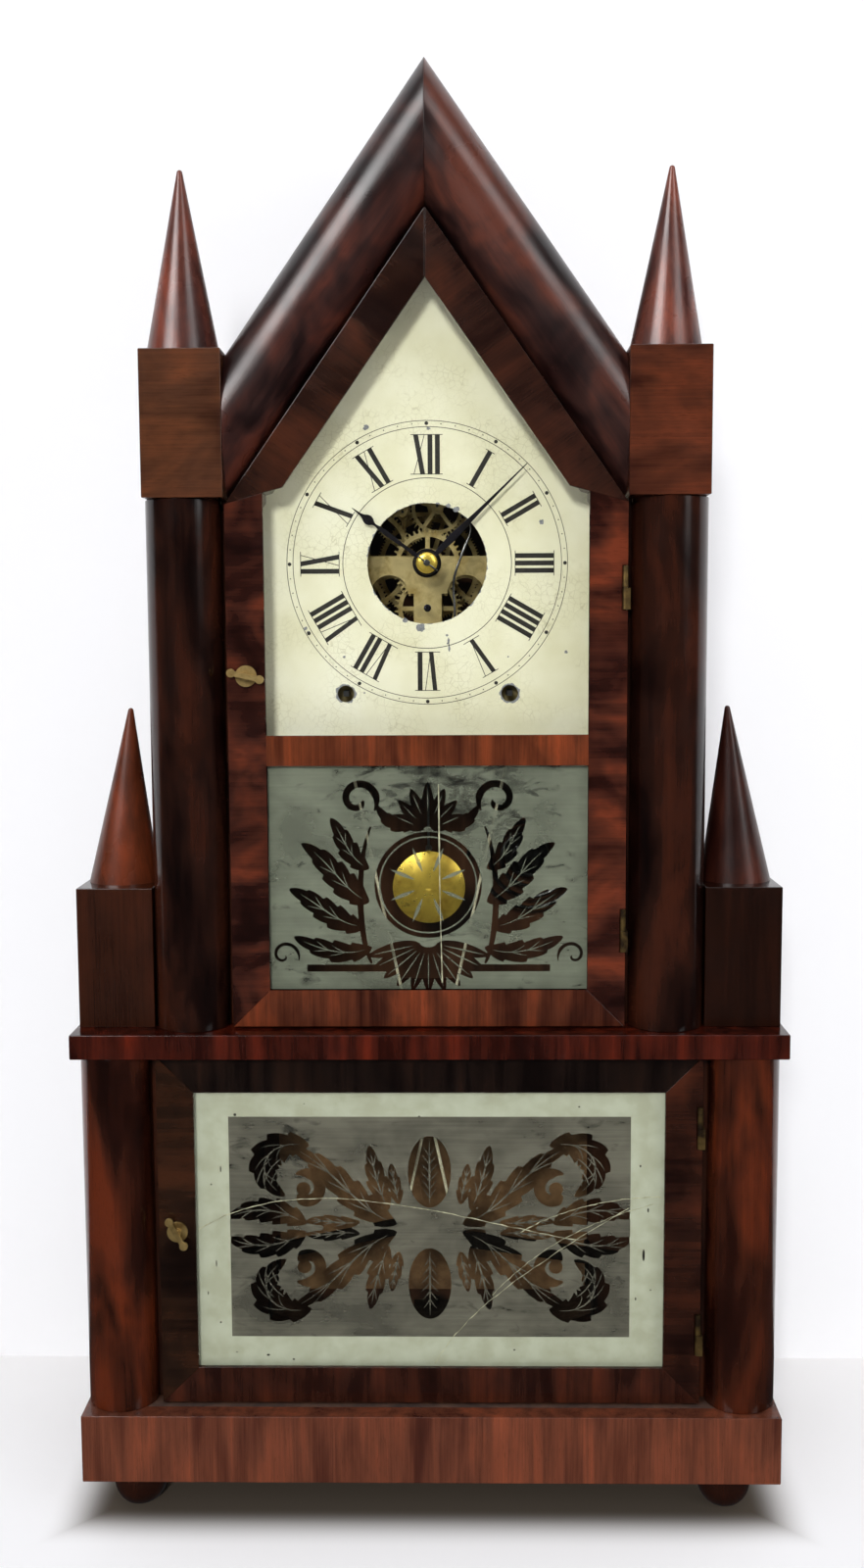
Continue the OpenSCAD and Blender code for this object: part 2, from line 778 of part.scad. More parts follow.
escape_teeth = 40;
escape_r = 14.8;
module escape_wheel() {
    at_dial() {
        arbor(escape_at, 0.9);
        lantern(8, 0.5, escape_at, fourth_y, 1.2, heading(escape_at, fourth_at));
        brass()
        upright(escape_y, 1)
        translate(escape_at)
        difference() {
            polygon([for (i = [0 : escape_teeth - 1], p = [[12.6, 0], [escape_r, 0.42], [escape_r, 0.5], [12.6, 0.42]])
                p[0] * [cos((i + p[1]) * 360 / escape_teeth), sin((i + p[1]) * 360 / escape_teeth)]]);
            difference() {
                circle(r = 10.9);
                circle(r = 3);
                for (k = [0 : 4]) rotate(k * 72 + 18) translate([0, -0.9]) square([12, 1.8]);
            }
            circle(r = 0.8);
        }
    }
}

// A flat bar between two places, with round ends drawn in short flats
module strap(p, q, w) {
    side = heading(p, q) + 90;
    polygon([for (end = [0, 1], k = [0 : 8])
        (end == 0 ? p : q) + w / 2 * [cos(side + end * 180 + k * 22.5), sin(side + end * 180 + k * 22.5)]]);
}

// A flat disc drawn in short flats
module flat_disc(at, r) {
    polygon([for (k = [0 : 31]) at + r * [cos(k * 11.25 + 3), sin(k * 11.25 + 3)]]);
}

rod_y = plate_front_y - 5.4;
rod_r = 0.6;
// The pendulum rod's places, bowed round the hands' arbor
rod_points = [[0, 53], [0, 44], [8, 34], [18, 24], [21, 16], [18, 8], [13.5, -4], [12.5, -12],
    [13, -28], [9, -60], [3, -85], [0, -100], [0, -141]];
crutch_at = rod_points[3];

module verge() {
    along = crutch_at - [0, suspension_rise];
    across = [-along.y, along.x] / norm(along);
    at_dial() {
        arbor(verge_at, 0.9);
        steel() {
            upright(escape_y - 0.6, 2.2) {
                for (s = [-1, 1]) {
                    strap(verge_at, verge_at + [s * 10.6, -3.2], 1.6);
                    strap(verge_at + [s * 10.6, -3.2], verge_at + [s * 10.4, -4.6], 1.2);
                }
                flat_disc(verge_at, 2);
            }
            bar(verge_at, pivot_r, plate_front_y - 4, plate_front_y);
            upright(plate_front_y - 3.4, 1) {
                strap(verge_at, crutch_at, 1);
                strap(crutch_at + 1.8 * across, crutch_at - 1.8 * across, 1.2);
            }
            for (s = [-1, 1])
                bar(crutch_at + s * 1.8 * across, 0.5, rod_y - 1.2, plate_front_y - 2.6);
        }
    }
}

bob_t = 9;
module pendulum() {
    bob_z = suspension_rise - pendulum_l;
    bob_r = bob_dia / 2;
    dome = (bob_r * bob_r + bob_t * bob_t / 4) / bob_t;
    at_dial() {
        steel() {
            flat_tube(smooth(rod_points, 4), rod_r, rod_y, 8);
            board([-1.5, rod_y - 0.15, suspension_rise - 2], [1.5, rod_y + 0.15, suspension_rise + 4]);
        }
        brass()
        translate([0, rod_y, bob_z]) rotate([90, 0, 0])
        rotate_extrude()
        intersection() {
            translate([0, dome - bob_t / 2]) circle(r = dome, $fn = 256);
            translate([0, bob_t / 2 - dome]) circle(r = dome, $fn = 256);
            translate([0, -bob_t]) square([bob_dia, 2 * bob_t]);
        }
        steel()
        difference() {
            bar([0, bob_z + bob_r + 1.5], 1.6, rod_y - 1.2, rod_y + 1.2);
            bar([0, bob_z + bob_r + 1.5], 0.8, rod_y - 2, rod_y + 2);
        }
    }
}

motion_y1 = plate_inner_y + 2;
motion_y2 = plate_inner_y + 5.6;
hour_hand_y = dial_y - 4.2;
minute_hand_y = dial_y - 7.2;
minute_angle = 45.8;
hour_angle = -53.6;

// Half widths of a hand's blade at shares of its length
minute_shape = [[0.03, 1.2], [0.11, 1.1], [0.18, 1.5], [0.24, 1.8], [0.3, 1.7], [0.41, 1.25], [0.55, 0.85],
    [0.73, 0.55], [0.88, 0.38], [1, 0.2]];
hour_shape = [[0.05, 1.5], [0.18, 1], [0.32, 0.8], [0.43, 1.1], [0.55, 1.25], [0.625, 0.95], [0.686, 0.55],
    [0.716, 0.8], [0.745, 1.9], [0.78, 2.35], [0.814, 2], [0.85, 1], [0.89, 0.5], [0.955, 0.32], [1, 0.12]];
hand_t = 0.7;

module hand_outline(l, shape) {
    polygon(concat([for (p = shape) [p.y, l * p.x]],
                   [for (k = [1 : len(shape)]) [-shape[len(shape) - k].y, l * shape[len(shape) - k].x]]));
}

module minute_hand() {
    at_dial() {
        steel()
        upright(minute_hand_y, hand_t)
        difference() {
            union() {
                circle(r = 3.4);
                rotate(-minute_angle) hand_outline(minute_hand_l, minute_shape);
            }
            circle(r = centre_r);
        }
        brass()
        translate([0, minute_hand_y, 0]) rotate([90, 0, 0])
        difference() {
            cylinder(r1 = 4.4, r2 = 2.6, h = 1.6);
            translate([0, 0, -1]) cylinder(r = centre_r, h = 4);
        }
    }
}

module hour_hand() {
    at_dial() {
        steel()
        upright(hour_hand_y, hand_t)
        difference() {
            union() {
                circle(r = 6.4);
                rotate(-hour_angle) hand_outline(hour_hand_l, hour_shape);
            }
            circle(r = centre_r + running);
        }
        brass()
        difference() {
            bar([0, 0], pipe_r, hour_hand_y + hand_t, motion_y1 + 0.5);
            bar([0, 0], centre_r + running, hour_hand_y - 1, motion_y1 + 3);
        }
        brass() wheel(40, 0.84, [0, 0], motion_y1, 1.2, centre_r + running, 6, 4, -90 - 180 / 40);
    }
}

module minute_wheel() {
    at_dial() {
        brass() wheel(36, 0.875, minute_wheel_at, motion_y2, 1.2, pivot_r + running, 4, 4, 90 - 180 / 36);
        difference() {
            lantern(10, 0.84, minute_wheel_at, motion_y1, 1.2, 90);
            bar(minute_wheel_at, pivot_r + running, plate_front_y, back_plate_y);
        }
        brass() difference() {
            bar(minute_wheel_at, 2, motion_y1 + 1.9, motion_y2 + 0.5);
            bar(minute_wheel_at, pivot_r + running, plate_front_y, back_plate_y);
        }
    }
}

// Outline shared by both plates: a cross of straps with bosses over every pivot
module plate_outline() {
    difference() {
        translate([-70, -14]) square([140, 18]);
        for (s = [-1, 1]) flat_disc([s * 18.5, -14], 9);
    }
    translate([-6.75, -97]) square([13.5, 100]);
    translate([-47, 7 - winding_drop - 14]) square([94, 14]);
    translate([-38, 33]) square([76, 29]);
    for (s = [-1, 1]) {
        translate([s * 34 - 4, 0]) square([8, 34]);
        flat_disc(to_side(s, third_at), 4);
        flat_disc([s * 66, 3], 5);
        strap(to_side(s, second_at), [s * second_at.x, -8], 8);
        strap(to_side(s, second_at), to_side(s, great_at), 8);
    }
    strap(escape_at, escape_at + [0, 8], 5);
    strap(fourth_at, fourth_at + [0, 10], 5);
    strap(fly_at, [strike_side * 34, 36], 8);
    strap(hammer_at, to_side(strike_side, second_at), 8);
}

module pivot_hole(at, r) { bar(at, r + running, plate_front_y - 1, back_plate_y + plate_t + 1); }

module pivot_holes() {
    for (s = [-1, 1]) {
        pivot_hole(to_side(s, great_at), winding_r - 0.8);
        pivot_hole(to_side(s, second_at), pivot_r);
        pivot_hole(to_side(s, third_at), pivot_r);
    }
    for (at = [fourth_at, escape_at, verge_at, fly_at, hammer_at]) pivot_hole(at, pivot_r);
}

module front_plate() {
    brass() at_dial() {
        difference() {
            upright(plate_front_y, plate_t) plate_outline();
            pivot_holes();
            bar([0, 0], pipe_r + running, plate_front_y - 1, plate_inner_y + 1);
            for (at = post_places) bar(at, 2, plate_front_y - 1, plate_inner_y + 1);
        }
        bar(minute_wheel_at, pivot_r, plate_front_y - 0.3, motion_y2 + 2.5);
        difference() {
            board([-4, rod_y - 1.4, suspension_rise + 1], [4, plate_front_y, suspension_rise + 5]);
            board([-2.2, rod_y - 0.25, suspension_rise], [2.2, rod_y + 0.25, suspension_rise + 6]);
        }
    }
}

module back_plate() {
    brass() at_dial()
    difference() {
        upright(back_plate_y, plate_t) plate_outline();
        pivot_holes();
        pivot_hole([0, 0], pivot_r);
        for (at = post_places) bar(at, 2, back_plate_y - 1, back_plate_y + plate_t + 1);
    }
}

module movement_posts() {
    steel() at_dial()
    for (at = post_places) {
        bar(at, 2.4, plate_inner_y, back_plate_y);
        bar(at, 2, plate_front_y - 1.2, plate_inner_y);
        bar(at, 2, back_plate_y, back_plate_y + plate_t);
        bar(at, 3, back_plate_y + plate_t, back_face - back_t);
    }
}

// Strike: hammer, gong and fly

head_drop = 87.5;
head_r = 4.5;
head_at = hammer_at - [0, head_drop];
gong_r = 32;
gong_turns = 4.5;
gong_wire_r = 1.1;
gong_post_r = 6.5;
gong_at = head_at + (gong_r + gong_wire_r + head_r + 1) * [-strike_side * cos(51), -sin(51)];
gong_y = back_face - back_t - 14;

// A curve through points, with some steps to each stretch
function smooth(points, steps) = let (n = len(points)) concat(
    [for (i = [0 : n - 2], k = [0 : steps - 1])
        let (a = points[max(i - 1, 0)], b = points[i], c = points[i + 1], d = points[min(i + 2, n - 1)], t = k / steps)
        0.5 * (2 * b + (c - a) * t + (2 * a - 5 * b + 4 * c - d) * t * t + (3 * b - a - 3 * c + d) * t * t * t)],
    [points[n - 1]]);

// A tube along points, each ring square to Y and to the path, for a path that lies flat in XZ
module flat_tube(points, r, y, sides) {
    n = len(points);
    rings = [for (i = [0 : n - 1])
        let (a = points[max(i - 1, 0)], b = points[min(i + 1, n - 1)], u = (b - a) / norm(b - a))
        for (k = [0 : sides - 1])
            let (c = r * cos(k * 360 / sides), h = r * sin(k * 360 / sides))
            [points[i].x - u.y * c, y + h, points[i].y + u.x * c]];
    walls = [for (i = [0 : n - 2], k = [0 : sides - 1])
        let (a = i * sides + k, b = i * sides + (k + 1) % sides)
        each [[a, b, a + sides], [b, b + sides, a + sides]]];
    first = [for (k = [sides - 1 : -1 : 0]) k];
    last = [for (k = [0 : sides - 1]) (n - 1) * sides + k];
    polyhedron(rings, concat(walls, [first, last]));
}

// Radius of the gong's coil after some turns
function gong_coil_r(turn) = gong_post_r - 1 + (gong_r - gong_post_r + 1) * turn / gong_turns;

gong_path = [for (i = [0 : 24 * gong_turns])
    gong_at + gong_coil_r(i / 24) * [cos(i * 15), sin(i * 15)]];
echo(gong_least_gap = min([for (i = [0 : len(gong_path) - 25])
    norm(gong_path[i] - gong_path[i + 24]) - 2 * gong_wire_r]));

module gong() {
    at_dial() {
        steel() flat_tube(gong_path, gong_wire_r, gong_y, 8);
        iron() {
            bar(gong_at, gong_post_r, gong_y - 2.4, back_face - back_t - 3);
            bar(gong_at, gong_post_r + 6, back_face - back_t - 3, back_face - back_t);
        }
    }
}

module strike_hammer() {
    at_dial() {
        arbor(hammer_at, arbor_r);
        steel() {
            bar(hammer_at, pivot_r, back_plate_y, gong_y + 1);
            upright(gong_y - 0.8, 1.6) strap(hammer_at, head_at, 2.2);
        }
        brass() bar(head_at, head_r, gong_y - 5, gong_y + 5);
    }
}

fly_half = 9;
fly_w = 12;
module fly() {
    at_dial() {
        arbor(fly_at, 0.9);
        lantern(8, 0.65, fly_at, strike_third_y, 1.5, heading(fly_at, to_side(strike_side, third_at)));
        brass()
        board([fly_at.x - fly_half, plate_inner_y + 4, fly_at.y - 0.3],
              [fly_at.x + fly_half, plate_inner_y + 4 + fly_w, fly_at.y + 0.3]);
    }
}

// Leaf spring and levers

leaf_radius = 220;
stack_z = plinth_top + 4;
stack_top = stack_z + leaf_count * leaf_t;
clamp_half = 10;

module leaf_spring() {
    steel()
    upright(lever_y - leaf_w / 2, leaf_w)
    for (k = [0 : leaf_count - 1])
        intersection() {
            translate([0, stack_top + leaf_radius])
            difference() {
                circle(r = leaf_radius + (k + 1) * leaf_t, $fn = 128);
                circle(r = leaf_radius + k * leaf_t, $fn = 128);
            }
            translate([-leaf_half * (1 - k / (leaf_count + 1)), stack_z - 1])
            square([2 * leaf_half * (1 - k / (leaf_count + 1)), leaf_radius / 2]);
        }
}

module spring_bracket() {
    rise = leaf_radius - sqrt(leaf_radius * leaf_radius - clamp_half * clamp_half);
    iron() {
        board([-clamp_half, lever_y - leaf_w / 2 - 7, plinth_top], [clamp_half, lever_y + leaf_w / 2 + 7, stack_z]);
        board([-clamp_half, lever_y - leaf_w / 2 - 7, stack_top + rise + 0.1],
              [clamp_half, lever_y + leaf_w / 2 + 7, stack_top + rise + 4]);
        for (s = [-1, 1])
            translate([0, lever_y + s * (leaf_w / 2 + 3.5), plinth_top]) {
                cylinder(r = 2, h = stack_top + rise - plinth_top + 5);
                translate([0, 0, stack_top + rise - plinth_top + 4]) cylinder(r = 3.6, h = 3, $fn = 6);
            }
        for (s = [-1, 1]) lever_stand(s);
    }
}

cheek_gap = lever_t / 2 + 0.3;
cheek_t = 3;
lever_pin_r = 2;
module lever_stand(s) {
    x = s * lever_pivot_x;
    board([x - 10, lever_y - cheek_gap - cheek_t - 8, plinth_top], [x + 10, lever_y + cheek_gap + cheek_t + 8, plinth_top + 3]);
    for (y = [lever_y - cheek_gap - cheek_t, lever_y + cheek_gap]) {
        board([x - 6, y, plinth_top], [x + 6, y + cheek_t, lever_pivot_z]);
        bar([x, lever_pivot_z], 6, y, y + cheek_t);
    }
    bar([x, lever_pivot_z], lever_pin_r, lever_y - cheek_gap - cheek_t, lever_y + cheek_gap + cheek_t);
}

// The pin at a lever's inner end
function lever_end(s, tilt) =
    [s * (lever_pivot_x - lever_l * cos(tilt)), lever_pivot_z + lever_l * sin(tilt)];

link_l = 11;
stirrup_reach = lever_pivot_x - leaf_half + 2;
// A lever with the link that takes the cord at its end and the stirrup that takes the leaf's tip.
// side is -1 for the link behind the lever and 1 for the link in front.
module lever(s, tilt, side) {
    pivot = [s * lever_pivot_x, lever_pivot_z];
    tip = lever_end(s, tilt);
    hook = pivot + stirrup_reach * (tip - pivot) / lever_l;
    foot_z = leaf_z(abs(hook.x)) - 1.25 * leaf_t - 1.3;
    link_y = side > 0 ? lever_y - lever_t / 2 - 1.4 : lever_y + lever_t / 2 + 0.2;
    iron()
    difference() {
        union() {
            upright(lever_y - lever_t / 2, lever_t) {
                strap(pivot, tip, 8);
                translate(pivot) circle(r = 6);
            }
            bar(tip, 1.2, lever_y - lever_t / 2 - 1.8, lever_y + lever_t / 2 + 1.8);
            bar(hook, 1.5, lever_y - leaf_w / 2 - 3, lever_y + leaf_w / 2 + 3);
            for (e = [-1, 1])
                translate([hook.x, lever_y + e * (leaf_w / 2 + 2), foot_z]) cylinder(r = 1, h = hook.y - foot_z);
            bar([hook.x, foot_z], 1, lever_y - leaf_w / 2 - 2, lever_y + leaf_w / 2 + 2);
        }
        bar(pivot, lever_pin_r + running, lever_y - 20, lever_y + 20);
    }
    brass()
    upright(link_y, 1.2)
    difference() {
        strap(tip, link_top(s, tilt), 4.4);
        for (p = [tip, link_top(s, tilt)]) translate(p) circle(r = 1.2);
    }
}

// Height of the main leaf's upper face at a distance from the middle
function leaf_z(x) = stack_top + leaf_radius - sqrt(leaf_radius * leaf_radius - x * x);

// Where the cord takes the link
function link_top(s, tilt) =
    let (p = lever_end(s, tilt), q = [-s * winding_x, dial_z - winding_drop])
    p + link_l * (q - p) / norm(q - p);

module left_lever() { lever(-1, left_lever_tilt, -1); }
module right_lever() { lever(1, right_lever_tilt, 1); }

// Each cord leaves the outer side of its drum and crosses to the far lever
module lift_cord(s, tilt, y) {
    end = link_top(s, tilt);
    axis = [-s * winding_x, dial_z - winding_drop];
    reach = drum_r + cord_dia / 2 + 0.05;
    d = norm(end - axis);
    turn = s * acos(reach / d);
    u = (end - axis) / d;
    start = axis + reach * [u.x * cos(turn) + u.y * sin(turn), u.y * cos(turn) - u.x * sin(turn)];
    run = start - end;
    color([0.72, 0.66, 0.5]) {
        translate([end.x, y, end.y]) rotate([0, 90 - atan2(run.y, run.x), 0]) cylinder(d = cord_dia, h = norm(run));
        translate([end.x, y, end.y]) sphere(r = cord_dia / 2);
    }
}

module lift_cords() {
    lift_cord(-1, left_lever_tilt, lever_y + 4);
    lift_cord(1, right_lever_tilt, lever_y - 4);
}

module left_side_block() { side_block(-1); }
module right_side_block() { side_block(1); }
module lower_left_steeple() { lower_steeple(-1); }
module lower_right_steeple() { lower_steeple(1); }
module left_cap_block() { cap_block(-1); }
module right_cap_block() { cap_block(1); }
module upper_left_steeple() { upper_steeple(-1); }
module upper_right_steeple() { upper_steeple(1); }
module left_gable_moulding() { gable_moulding(-1); }
module right_gable_moulding() { gable_moulding(1); }
module time_drum() { drum(time_side); }
module strike_drum() { drum(strike_side); }
module time_great_wheel() { great_wheel(time_side); }
module strike_great_wheel() { great_wheel(strike_side); }
module time_second_wheel() { second_wheel(time_side); }
module strike_second_wheel() { second_wheel(strike_side); }
module time_third_wheel() { third_wheel(time_side, time_third_y, [0, 0]); }
module strike_third_wheel() { third_wheel(strike_side, strike_third_y, fly_at); }

bun_feet();
base_plinth();
base_board();
lower_sides();
lower_backboard();
lower_columns();
middle_shelf();
left_side_block();
right_side_block();
lower_left_steeple();
lower_right_steeple();
upper_sides();
roof_boards();
upper_backboard();
upper_columns();
left_cap_block();
right_cap_block();
upper_left_steeple();
upper_right_steeple();
left_gable_moulding();
right_gable_moulding();
paper_label();
dial_plate();
case_hinges();
upper_door_frame();
dial_glass();
upper_tablet();
upper_door_hinges();
upper_catch();
lower_door_frame();
lower_tablet();
lower_door_hinges();
lower_catch();
front_plate();
back_plate();
movement_posts();
time_drum();
strike_drum();
time_great_wheel();
strike_great_wheel();
time_second_wheel();
strike_second_wheel();
time_third_wheel();
strike_third_wheel();
centre_wheel();
fourth_wheel();
escape_wheel();
verge();
pendulum();
minute_hand();
hour_hand();
minute_wheel();
strike_hammer();
gong();
fly();
leaf_spring();
spring_bracket();
left_lever();
right_lever();
lift_cords();
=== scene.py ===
"""Double steeple shelf clock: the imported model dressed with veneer, painted dial, tablets and brass."""

from __future__ import annotations

import logging
import math
import random
from contextlib import contextmanager
from dataclasses import dataclass, field
from enum import Enum
from typing import Callable, Iterator, Sequence

import bpy
from mathutils import Matrix, Vector


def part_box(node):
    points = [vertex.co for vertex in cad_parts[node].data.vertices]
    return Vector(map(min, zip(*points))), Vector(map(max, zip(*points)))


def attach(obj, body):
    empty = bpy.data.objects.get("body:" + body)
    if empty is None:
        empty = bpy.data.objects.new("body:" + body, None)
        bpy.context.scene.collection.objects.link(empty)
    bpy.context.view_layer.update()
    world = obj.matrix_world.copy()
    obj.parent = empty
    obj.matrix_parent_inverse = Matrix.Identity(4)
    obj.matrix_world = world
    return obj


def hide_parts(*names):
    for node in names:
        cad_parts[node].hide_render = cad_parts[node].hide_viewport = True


LOG = logging.getLogger("clock")
MM = 0.001
Point = tuple[float, float]
Outline = list[Point]
Piece = bpy.types.Object
Tree = bpy.types.NodeTree
Socket = bpy.types.NodeSocket

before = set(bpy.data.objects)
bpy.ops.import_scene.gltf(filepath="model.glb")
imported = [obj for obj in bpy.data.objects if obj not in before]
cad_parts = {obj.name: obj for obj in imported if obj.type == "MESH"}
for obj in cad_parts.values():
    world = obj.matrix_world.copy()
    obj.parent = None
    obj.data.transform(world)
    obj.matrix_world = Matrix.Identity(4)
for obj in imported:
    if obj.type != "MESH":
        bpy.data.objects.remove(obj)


# Bench tools


@contextmanager
def editing(piece: Piece) -> Iterator[None]:
    """Opens a piece in edit mode with everything selected, and closes it afterwards.

    Args:
        piece: The mesh object to edit.
    """
    choose(piece)
    bpy.ops.object.mode_set(mode="EDIT")
    bpy.ops.mesh.select_all(action="SELECT")
    yield
    bpy.ops.object.mode_set(mode="OBJECT")


def choose(*pieces: Piece) -> None:
    """Makes these objects the only selected ones, the first of them active."""
    bpy.ops.object.select_all(action="DESELECT")
    for piece in pieces:
        piece.select_set(True)
    bpy.context.view_layer.objects.active = pieces[0]


def linked(name: str, data: bpy.types.ID) -> Piece:
    """Puts new data into the scene as an object.

    Args:
        name: The name of the object and of its data.
        data: A mesh or curve.

    Returns:
        The new object, at the origin.
    """
    data.name = name
    piece = bpy.data.objects.new(name, data)
    bpy.context.scene.collection.objects.link(piece)
    return piece


def merged_copy(node: str, name: str) -> Piece:
    """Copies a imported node's mesh into a new object and joins its loose triangles.

    Args:
        node: The node to copy.
        name: The name of the new piece.

    Returns:
        The new piece, with flat faces made whole.
    """
    piece = linked(name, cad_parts[node].data.copy())
    piece.data.materials.clear()
    with editing(piece):
        bpy.ops.mesh.remove_doubles(threshold=2e-6)
        bpy.ops.mesh.dissolve_limited(angle_limit=math.radians(0.5))
    return piece


def cut(piece: Piece, point: Sequence[float], away: Sequence[float]) -> None:
    """Saws a piece along a plane and throws one side away.

    Args:
        piece: The mesh object to cut.
        point: A point on the plane, in metres.
        away: The direction of the side that goes.
    """
    with editing(piece):
        bpy.ops.mesh.bisect(plane_co=point, plane_no=away, use_fill=True, clear_outer=True)


def soften(piece: Piece, width: float, segments: int = 2, angle: float = 28) -> None:
    """Rounds a piece's edges and smooths what lies between them.

    Args:
        piece: The mesh object.
        width: The width of the rounding, in metres.
        segments: How many faces the rounding has.
        angle: Edges sharper than this, in degrees, are rounded.
    """
    bevel = piece.modifiers.new("worn edges", "BEVEL")
    bevel.width = width
    bevel.segments = segments
    bevel.limit_method = "ANGLE"
    bevel.angle_limit = math.radians(angle)
    choose(piece)
    bpy.ops.object.modifier_apply(modifier=bevel.name)
    bpy.ops.object.shade_smooth_by_angle(angle=math.radians(40))
    # Broad faces keep their own direction, so that they mirror as flat boards
    weighted = piece.modifiers.new("flat boards", "WEIGHTED_NORMAL")
    weighted.keep_sharp = True
    bpy.ops.object.modifier_apply(modifier=weighted.name)


def join(name: str, pieces: Sequence[Piece]) -> Piece:
    """Joins mesh objects into one and names it."""
    choose(*pieces)
    if len(pieces) > 1:
        bpy.ops.object.join()
    pieces[0].name = pieces[0].data.name = name
    return pieces[0]


def as_mesh(curve: Piece, name: str) -> Piece:
    """Turns a curve object into a mesh object and names it."""
    choose(curve)
    bpy.ops.object.convert(target="MESH")
    piece = bpy.context.view_layer.objects.active
    piece.name = piece.data.name = name
    return piece


def flat_shape(name: str, outlines: Sequence[Outline], y: float, thickness: float) -> Piece:
    """Cuts a thin sheet that faces the front. An outline in another is a hole, and one in a hole is filled.

    Args:
        name: The name of the piece.
        outlines: Closed outlines as places (x, z), in metres.
        y: The depth of the sheet's middle.
        thickness: The sheet's thickness.

    Returns:
        The sheet as a mesh object.
    """
    curve = bpy.data.curves.new(name, "CURVE")
    curve.dimensions = "2D"
    curve.fill_mode = "BOTH"
    curve.extrude = thickness / 2
    for outline in outlines:
        spline = curve.splines.new("POLY")
        spline.points.add(len(outline) - 1)
        for point, (x, z) in zip(spline.points, outline):
            point.co = (x, z, 0, 1)
        spline.use_cyclic_u = True
    piece = as_mesh(linked(name, curve), name)
    piece.data.transform(Matrix.Translation((0, y, 0)) @ Matrix.Rotation(math.pi / 2, 4, "X"))
    return piece


def tube(name: str, points: Sequence[Sequence[float]], radius: float) -> Piece:
    """Strings a round curve through points, straight from each to the next and closed at its ends.

    Args:
        name: The name of the piece.
        points: Its centre line, in metres.
        radius: Its radius.

    Returns:
        The curve object.
    """
    curve = bpy.data.curves.new(name, "CURVE")
    curve.dimensions = "3D"
    curve.bevel_depth = radius
    curve.bevel_resolution = 3
    curve.use_fill_caps = True
    spline = curve.splines.new("POLY")
    spline.points.add(len(points) - 1)
    for knot, place in zip(spline.points, points):
        knot.co = (*place, 1)
    return linked(name, curve)


def turned(name: str, profile: Sequence[Point], at: Sequence[float], steps: int = 48) -> Piece:
    """Turns a profile about an axis that points to the front.

    Args:
        name: The name of the piece.
        profile: Places (radius, distance in front of at) in millimetres, from the back to the front.
        at: The point on the axis that distances are counted from.
        steps: How many faces go round.

    Returns:
        The turned piece, closed where its profile starts and ends on the axis.
    """
    bpy.ops.mesh.primitive_circle_add(vertices=3, radius=MM)
    piece = bpy.context.active_object
    piece.name = piece.data.name = name
    mesh = bpy.data.meshes.new(name)
    x, y, z = at
    line = [(x + r * MM, y - d * MM, z) for r, d in profile]
    mesh.from_pydata(line, [(k, k + 1) for k in range(len(line) - 1)], [])
    piece.data = mesh
    with editing(piece):
        bpy.ops.mesh.spin(steps=steps, angle=math.tau, center=at, axis=(0, 1, 0))
        bpy.ops.mesh.select_all(action="SELECT")
        bpy.ops.mesh.remove_doubles(threshold=1e-6)
        bpy.ops.mesh.normals_make_consistent(inside=False)
    bpy.ops.object.shade_smooth_by_angle(angle=math.radians(35))
    return piece


# Finishes


def hue(code: str) -> tuple[float, float, float, float]:
    """Turns an sRGB hex colour such as "#7a3418" into a linear colour."""
    parts = [int(code[k : k + 2], 16) / 255 for k in (1, 3, 5)]
    return (*[p / 12.92 if p <= 0.04045 else ((p + 0.055) / 1.055) ** 2.4 for p in parts], 1.0)


def feed(tree: Tree, node: bpy.types.Node, inputs: dict) -> None:
    """Sets a node's inputs, by name or number, each to a value or to the socket that feeds it."""
    for name, value in inputs.items():
        if isinstance(value, Socket):
            tree.links.new(value, node.inputs[name])
        else:
            node.inputs[name].default_value = value


def add_node(tree: Tree, kind: str, inputs: dict | None = None, **settings: object) -> bpy.types.Node:
    """Adds a shader node with its settings and inputs.

    Args:
        tree: The material's node tree.
        kind: The node's type after "ShaderNode", such as "Mix".
        inputs: Input name or number to a value, or to the socket that feeds it.
        **settings: The node's own settings.

    Returns:
        The new node.
    """
    node = tree.nodes.new("ShaderNode" + kind)
    for name, value in settings.items():
        setattr(node, name, value)
    feed(tree, node, inputs or {})
    return node


def show(tree: Tree, surface: Socket) -> None:
    """Sends a shader to the material's output in place of the Principled one."""
    output = next(node for node in tree.nodes if node.type == "OUTPUT_MATERIAL")
    tree.links.new(surface, output.inputs["Surface"])


class Grain(Enum):
    """Which way the wood's grain runs: the turn about Y that lays it along X, in degrees."""

    ACROSS = 0.0
    UP = 90.0
    LEFT_SLOPE = 54.8
    RIGHT_SLOPE = -54.8
    OVER_LEFT_SLOPE = -35.2
    OVER_RIGHT_SLOPE = 35.2


@dataclass(frozen=True)
class Finish:
    """A surface finish that makes its own material."""

    name: str

    def start(self) -> tuple[Tree, bpy.types.Node, Socket]:
        """Makes an empty material.

        Returns:
            Its node tree, its Principled node and the socket of object coordinates.
        """
        material = bpy.data.materials.new(self.name)
        material.use_nodes = True
        tree = material.node_tree
        tree.nodes.clear()
        shader = add_node(tree, "BsdfPrincipled")
        add_node(tree, "OutputMaterial", {"Surface": shader.outputs["BSDF"]})
        place = add_node(tree, "TexCoord").outputs["Object"]
        return tree, shader, place

    def build(self) -> bpy.types.Material:
        """Makes the material once and returns it each time."""
        if self.name not in bpy.data.materials:
            self.make()
        return bpy.data.materials[self.name]

    def make(self) -> None:
        """Makes the material."""
        raise NotImplementedError


